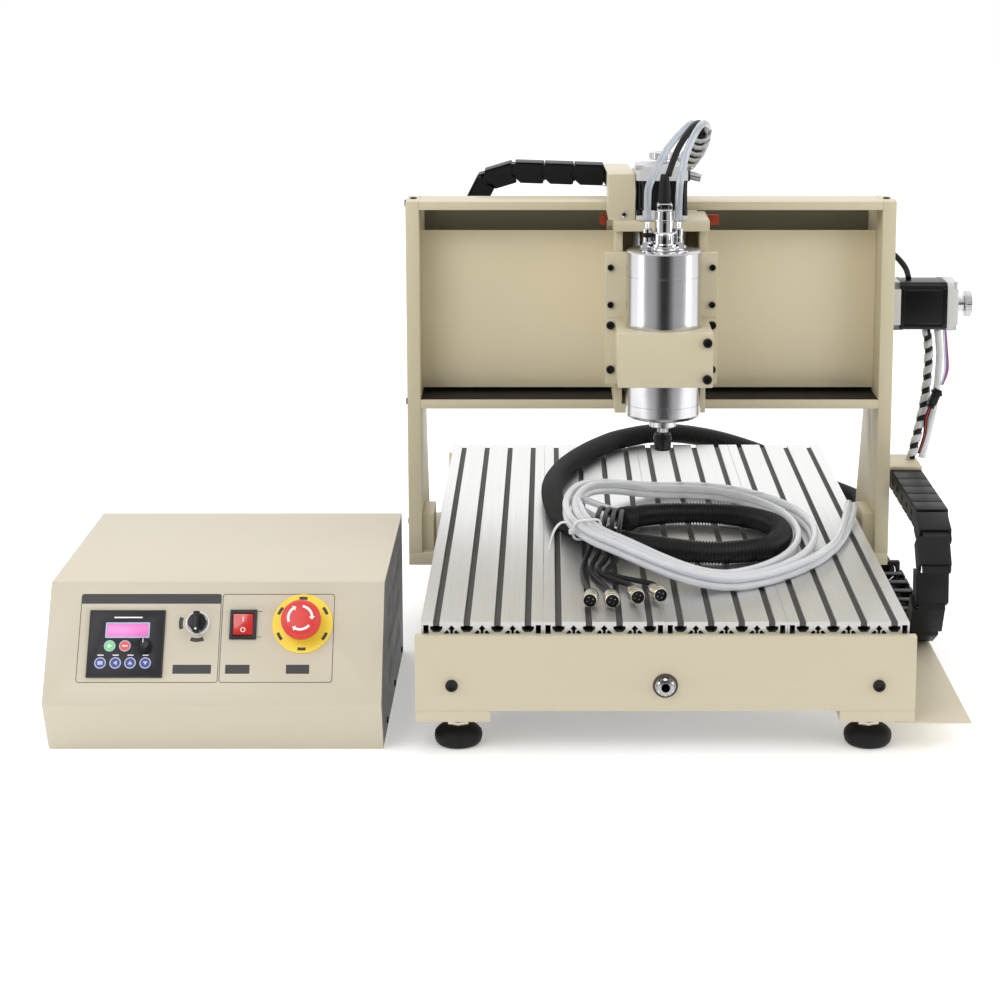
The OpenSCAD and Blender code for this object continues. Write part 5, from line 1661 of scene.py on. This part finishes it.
def make_switches():
    """The mode selector, the lit rocker with its marks, and the emergency stop."""
    place = on_panel(148.5, 83)
    ring = turned("selector_bezel", [
        (12, 0), (12, 1.6), (11.4, 2.8), (10.6, 3.1), (9.6, 2.6), (9.4, 1.4), (7, 1.4), (6.4, 0.6),
    ], 56)
    finished(placed(ring, place), "base", "ring", "selector_ring")
    cap = turned("cap", [(8.8, 3.3), (9, 3.8), (9, 7.2), (8.6, 8.2), (8, 8.4)], 44)
    grip = block("grip", (-3.3, -11.6, 5.2), (3.3, 9.4, 14), 1.3, 3)
    with editing_faces(grip, lambda c, n: n.y < -0.9):
        bpy.ops.transform.translate(value=(0, 0, -0.0006))
    finished(placed(joined("selector_grip", cap, grip), place), "mode_selector", "switch",
             "selector_knob")
    dot = turned("dot", [(1.1, 13.9), (1.1, 14.12), (0.9, 14.2)], 18)
    placed(dot, Matrix.Translation((0, -0.0088, 0)))
    dot.name = "selector_dot"
    finished(placed(dot, place), "mode_selector", "print_white")
    printed("selector_left_mark", [arc_band(15, 19, 160, 200)], "print_dark", (148.5, 83))
    printed("selector_low_mark", [arc_band(15, 19, 248, 292)], "print_dark", (148.5, 83))
    rocker_tip = on_panel(193.75, 81.55) @ Matrix.Rotation(math.radians(8), 4, "X")
    slope = math.atan2(1.4, 10.45)
    for name, outlines, v in (
        ("rocker_line_mark", [rectangle(-0.5, -2.3, 0.5, 2.3)], 5.2),
        ("rocker_ring_mark", [disc(2.5, 28), disc(1.7, 28)], -5.2),
    ):
        lift = 2.03 + abs(v) * 1.4 / 10.45
        tip = rocker_tip @ Matrix.Translation((0, v / 1000, lift / 1000))
        tip = tip @ Matrix.Rotation(math.copysign(slope, v), 4, "X")
        printed(name, outlines, "print_white", body="power_switch", place=tip)
    for i, v in enumerate((95, 69)):
        printed(f"rocker_tick_{i}", [rectangle(0, -0.3, 4, 0.3)], "print_dark", (208, v))
    place = on_panel(252.7, 82.4)
    plate = turned("stop_plate", [
        (29.4, 0), (30, 0.3), (30, 0.9), (29.5, 1.3), (16, 1.3), (15, 1.5), (15, 4), (14.2, 4.4),
        (11.6, 4.4), (11.3, 4), (11.3, -2),
    ], 72)
    finished(placed(plate, place), "base", "plate", "estop_disc")
    for i in range(6):
        start = 30 + i * 60
        printed(f"stop_tick_{i}", [arc_band(24.4, 27.4, start - 9, start + 9, 6)], "print_dark",
                (252.7, 82.4), 1.36)
    button = turned("stop_mushroom", [
        (11, 4.8), (11, 9.6), (14, 10.4), (18.2, 11), (19.5, 12.4), (19.7, 14), (19.7, 19),
        (19.2, 21), (17.6, 22.8), (15, 23.9), (11, 24.6), (6, 24.95), (0.4, 25),
    ], 72)
    finished(placed(button, place), "stop_button", "stop", "estop_button", 40)
    for i in range(3):
        a = 80 - i * 120
        arrow = sheet_cut(f"stop_arrow_{i}", [arc_band(10.6, 13, a, a - 74, 12, 15)], 0.5)
        placed(arrow, place @ Matrix.Translation((0, 0, 0.0245)))
        finished(arrow, "stop_button", "print_white", (), 0)


def make_rear():
    """The box's round sockets, inlet blades and cover screws."""
    back = -67
    for i in range(4):
        spot = facing((BOX_LEFT + 190 + i * 30, back - 2, 105), (0, 1, 0))
        socket = turned("socket", [
            (10, 0), (10, 1.6), (9.6, 2), (8, 2), (8, 6), (7.6, 6.3), (6.7, 6.3), (6.5, 5.8),
        ], 40)
        socket.name = f"rear_socket_{i}"
        finished(placed(socket, spot), "base", "nickel", "controller_sockets")
        core = turned("core", [(6.4, 0.4), (6.4, 3), (6, 3.2)], 32)
        pins = copies(turned("pin", [(0.6, 3), (0.6, 5), (0.3, 5.4)], 10), [
            Matrix.Translation((0.0032 * math.cos(k * math.tau / 4),
                                0.0032 * math.sin(k * math.tau / 4), 0))
            for k in range(4)
        ])
        core.name, pins.name = f"rear_socket_core_{i}", f"rear_socket_pins_{i}"
        finished(placed(core, spot), "base", "switch")
        finished(placed(pins, spot), "base", "chrome")
    inlet = joined(
        "inlet", block("surround", (-24, -14, 0), (24, 14, 2.2), 1),
        block("mouth", (-16, -9.5, -10), (16, 9.5, -8)),
    )
    cut(inlet, block("well", (-19, -11, -7), (19, 11, 5), 1))
    finished(placed(inlet, facing((BOX_LEFT + 64, back - 2, 44), (0, 1, 0))), "base", "switch")
    blade = block("inlet_blades", (-0.7, -2.6, -9), (0.7, 2.6, -1), 0.2)
    blades = copies(blade, [Matrix.Translation((x / 1000, y / 1000, 0)) for x,
                            y in ((-9, -2), (9, -2), (0, 4))])
    finished(placed(blades, facing((BOX_LEFT + 64, back - 2, 44), (0, 1, 0))), "base", "nickel")
    spots = [facing((x, y, z), (s, 0, 0)) for s, x in ((-1, BOX_LEFT), (1, -279)) for y, z in
             ((-100, 12), (-330, 12), (-215, 12))]
    finished(copies(cap_screw("cover_screws", 7, 1.6), spots), "base", "screw")


def make_sides():
    """The louvred sheets on the control box's two sides, in a darker grey that is painted shade."""
    outline = [(-380, 1.6), (-403, 53), (-338.2, 158), (-68.6, 158), (-68.6, 1.6)]
    lean = math.radians(25)
    slots = []
    for row in range(3):
        for i in range(12):
            y0, z0 = -127 - 15 * i, 36 + 36 * row
            slots.append([
                (y0 + a * math.cos(lean) - b * math.sin(lean),
                 z0 + a * math.sin(lean) + b * math.cos(lean))
                for a, b in ((-2, 0), (2, 0), (2, 22), (-2, 22))
            ])
    upright = Matrix(((0, 0, 1, 0), (1, 0, 0, 0), (0, 1, 0, 0), (0, 0, 0, 1)))
    for name, x in (("left_side_sheet", BOX_LEFT - 0.25), ("right_side_sheet", -279.25)):
        sheet = sheet_cut(name, [outline, *slots], 0.5)
        finished(placed(sheet, Matrix.Translation((x / 1000, 0, 0)) @ upright), "base",
                 "side_shade_paint", (), 0)
        # A near-black sheet inside each side, behind the louvres: painted shade for the box's
        # shaded inside seen through the slots
        inside = 1.7 if x < -400 else -2.2
        back = block(name.replace("sheet", "screen"), (x + inside, -330, 30),
                     (x + inside + 0.5, -110, 140))
        finished(back, "base", "hollow", (), 0)


class ROUTER_OT_controller(bpy.types.Operator):
    """Fits out the control box: drive, switches, printed frames, sockets and cover screws."""

    bl_idname = "router.controller"
    bl_label = "Control box"

    def execute(self, context):
        frame_line("left_frame", 31, 23, 171, 113)
        printed("title_band", [rectangle(31.7, 103, 170.3, 112.6)], "print_dark")
        frame_line("right_frame", 172, 23, 284, 113)
        for i, (u0, u1) in enumerate(((126, 164), (178, 202), (238, 261))):
            printed(f"name_band_{i}", [rectangle(u0, 32, u1, 41)], "print_dark")
        make_drive()
        make_switches()
        make_sides()
        make_rear()
        return {"FINISHED"}


# ---------------------------------------------------------------- stage


def area_light(name, place, aim, size, power, colour=(1, 1, 1)):
    """A square soft light, with place and aim in metres."""
    data = bpy.data.lights.new(name, "AREA")
    data.shape = "RECTANGLE"
    data.size, data.size_y = size
    data.energy = power
    data.color = colour
    light = bpy.data.objects.new(name, data)
    bpy.context.scene.collection.objects.link(light)
    light.location = place
    light.rotation_euler = (Vector(aim) - Vector(place)).to_track_quat("-Z", "Y").to_euler()
    return light


def make_world():
    """A soft white room: brighter above and behind, with a dark card in front for the metal."""
    world = bpy.data.worlds.new("Studio")
    world.use_nodes = True
    nodes, links = world.node_tree.nodes, world.node_tree.links
    place = nodes.new("ShaderNodeTexCoord")
    apart = nodes.new("ShaderNodeSeparateXYZ")
    links.new(place.outputs["Generated"], apart.inputs["Vector"])

    def ramp(axis, low, high, at_low, at_high):
        node = nodes.new("ShaderNodeMapRange")
        for label, value in (("From Min", low), ("From Max", high),
                             ("To Min", at_low), ("To Max", at_high)):
            node.inputs[label].default_value = value
        links.new(apart.outputs[axis], node.inputs["Value"])
        return node.outputs["Result"]

    def times(first, second):
        node = nodes.new("ShaderNodeMath")
        node.operation = "MULTIPLY"
        links.new(first, node.inputs[0])
        links.new(second, node.inputs[1])
        return node.outputs["Value"]

    above = ramp("Z", 0.0, 1.0, 0.5, 0.88)
    behind = ramp("Y", 0.1, 0.8, 1.0, 2.1)
    card = ramp("Y", -0.97, -0.86, 0.02, 1.0)
    light = times(times(above, behind), card)
    seen = nodes.new("ShaderNodeBackground")
    lit = nodes["Background"]
    links.new(light, lit.inputs["Strength"])
    lit.inputs["Color"].default_value = (1, 1, 1, 1)
    ray = nodes.new("ShaderNodeLightPath")
    mixed = nodes.new("ShaderNodeMixShader")
    links.new(ray.outputs["Is Camera Ray"], mixed.inputs[0])
    links.new(lit.outputs["Background"], mixed.inputs[1])
    links.new(seen.outputs["Background"], mixed.inputs[2])
    seen.inputs["Color"].default_value = (1, 1, 1, 1)
    links.new(mixed.outputs["Shader"], nodes["World Output"].inputs["Surface"])
    return world


class ROUTER_OT_stage(bpy.types.Operator):
    """Lays the pale floor and sets up the soft lights and the white surroundings."""

    bl_idname = "router.stage"
    bl_label = "Stage and lights"

    def execute(self, context):
        clear()
        front, side = -1.12, 12.0
        bpy.ops.mesh.primitive_plane_add(size=1, location=(0, front + side / 2, -0.0002))
        bpy.ops.transform.resize(value=(side, side, 1))
        floor = named("Floor")
        made = material(
            "Pale floor", (0.95, 0.95, 0.95), Roughness=0.9, Specular_IOR_Level=0.05,
            Emission_Color=(1, 1, 1, 1), Emission_Strength=0.24,
        )
        floor.data.materials.append(made)
        area_light("Key", (-1.5, -2.4, 2.3), (0, 0, 0.2), (2.0, 1.4), 30)
        area_light("Fill", (2.4, -1.8, 1.6), (0, 0, 0.3), (1.4, 1.8), 14)
        area_light("Top", (0.1, 0.4, 3.0), (0, 0, 0), (3.0, 2.4), 6)
        area_light("Left strip", (-2.2, -0.8, 0.8), (0.1, 0, 0.4), (0.6, 2.0), 9)
        area_light("Right strip", (2.2, -0.6, 0.8), (0.1, 0, 0.4), (0.6, 2.0), 7)
        world = make_world()
        context.scene.world = world
        context.scene.view_settings.view_transform = "Standard"
        context.scene.view_settings.look = "None"
        return {"FINISHED"}


class ROUTER_OT_finishes(bpy.types.Operator):
    """Mixes every finish: paints, metals, plastics and prints."""

    bl_idname = "router.finishes"
    bl_label = "Finishes"

    def execute(self, context):
        make_finishes(context.scene.router_colours)
        return {"FINISHED"}


STEPS = (
    ROUTER_OT_camera, ROUTER_OT_finishes, ROUTER_OT_cords, ROUTER_OT_plates, ROUTER_OT_table,
    ROUTER_OT_screws, ROUTER_OT_base, ROUTER_OT_motors, ROUTER_OT_chains, ROUTER_OT_gantry,
    ROUTER_OT_head, ROUTER_OT_controller, ROUTER_OT_stage,
)


class ROUTER_PT_panel(bpy.types.Panel):
    """Lists the router's settings and the steps that build it."""

    bl_label = "Gantry Router"
    bl_idname = "ROUTER_PT_panel"
    bl_space_type = "VIEW_3D"
    bl_region_type = "UI"
    bl_category = "Router"

    def draw(self, context):
        column = self.layout.column(align=True)
        for step in STEPS:
            column.operator(step.bl_idname)
        for settings in (context.scene.router_colours, context.scene.router_sizes):
            column = self.layout.column(align=True)
            for name in settings.bl_rna.properties.keys():
                if name not in ("rna_type", "name"):
                    column.prop(settings, name)


def register():
    for part in (RouterColours, RouterSizes, *STEPS, ROUTER_PT_panel):
        bpy.utils.register_class(part)
    bpy.types.Scene.router_colours = bpy.props.PointerProperty(type=RouterColours)
    bpy.types.Scene.router_sizes = bpy.props.PointerProperty(type=RouterSizes)


def unregister():
    del bpy.types.Scene.router_sizes
    del bpy.types.Scene.router_colours
    for part in reversed((RouterColours, RouterSizes, *STEPS, ROUTER_PT_panel)):
        bpy.utils.unregister_class(part)


def main():
    """Builds everything in order."""
    register()
    for step in STEPS:
        group, action = step.bl_idname.split(".")
        getattr(getattr(bpy.ops, group), action)()


if __name__ == "__main__":
    main()
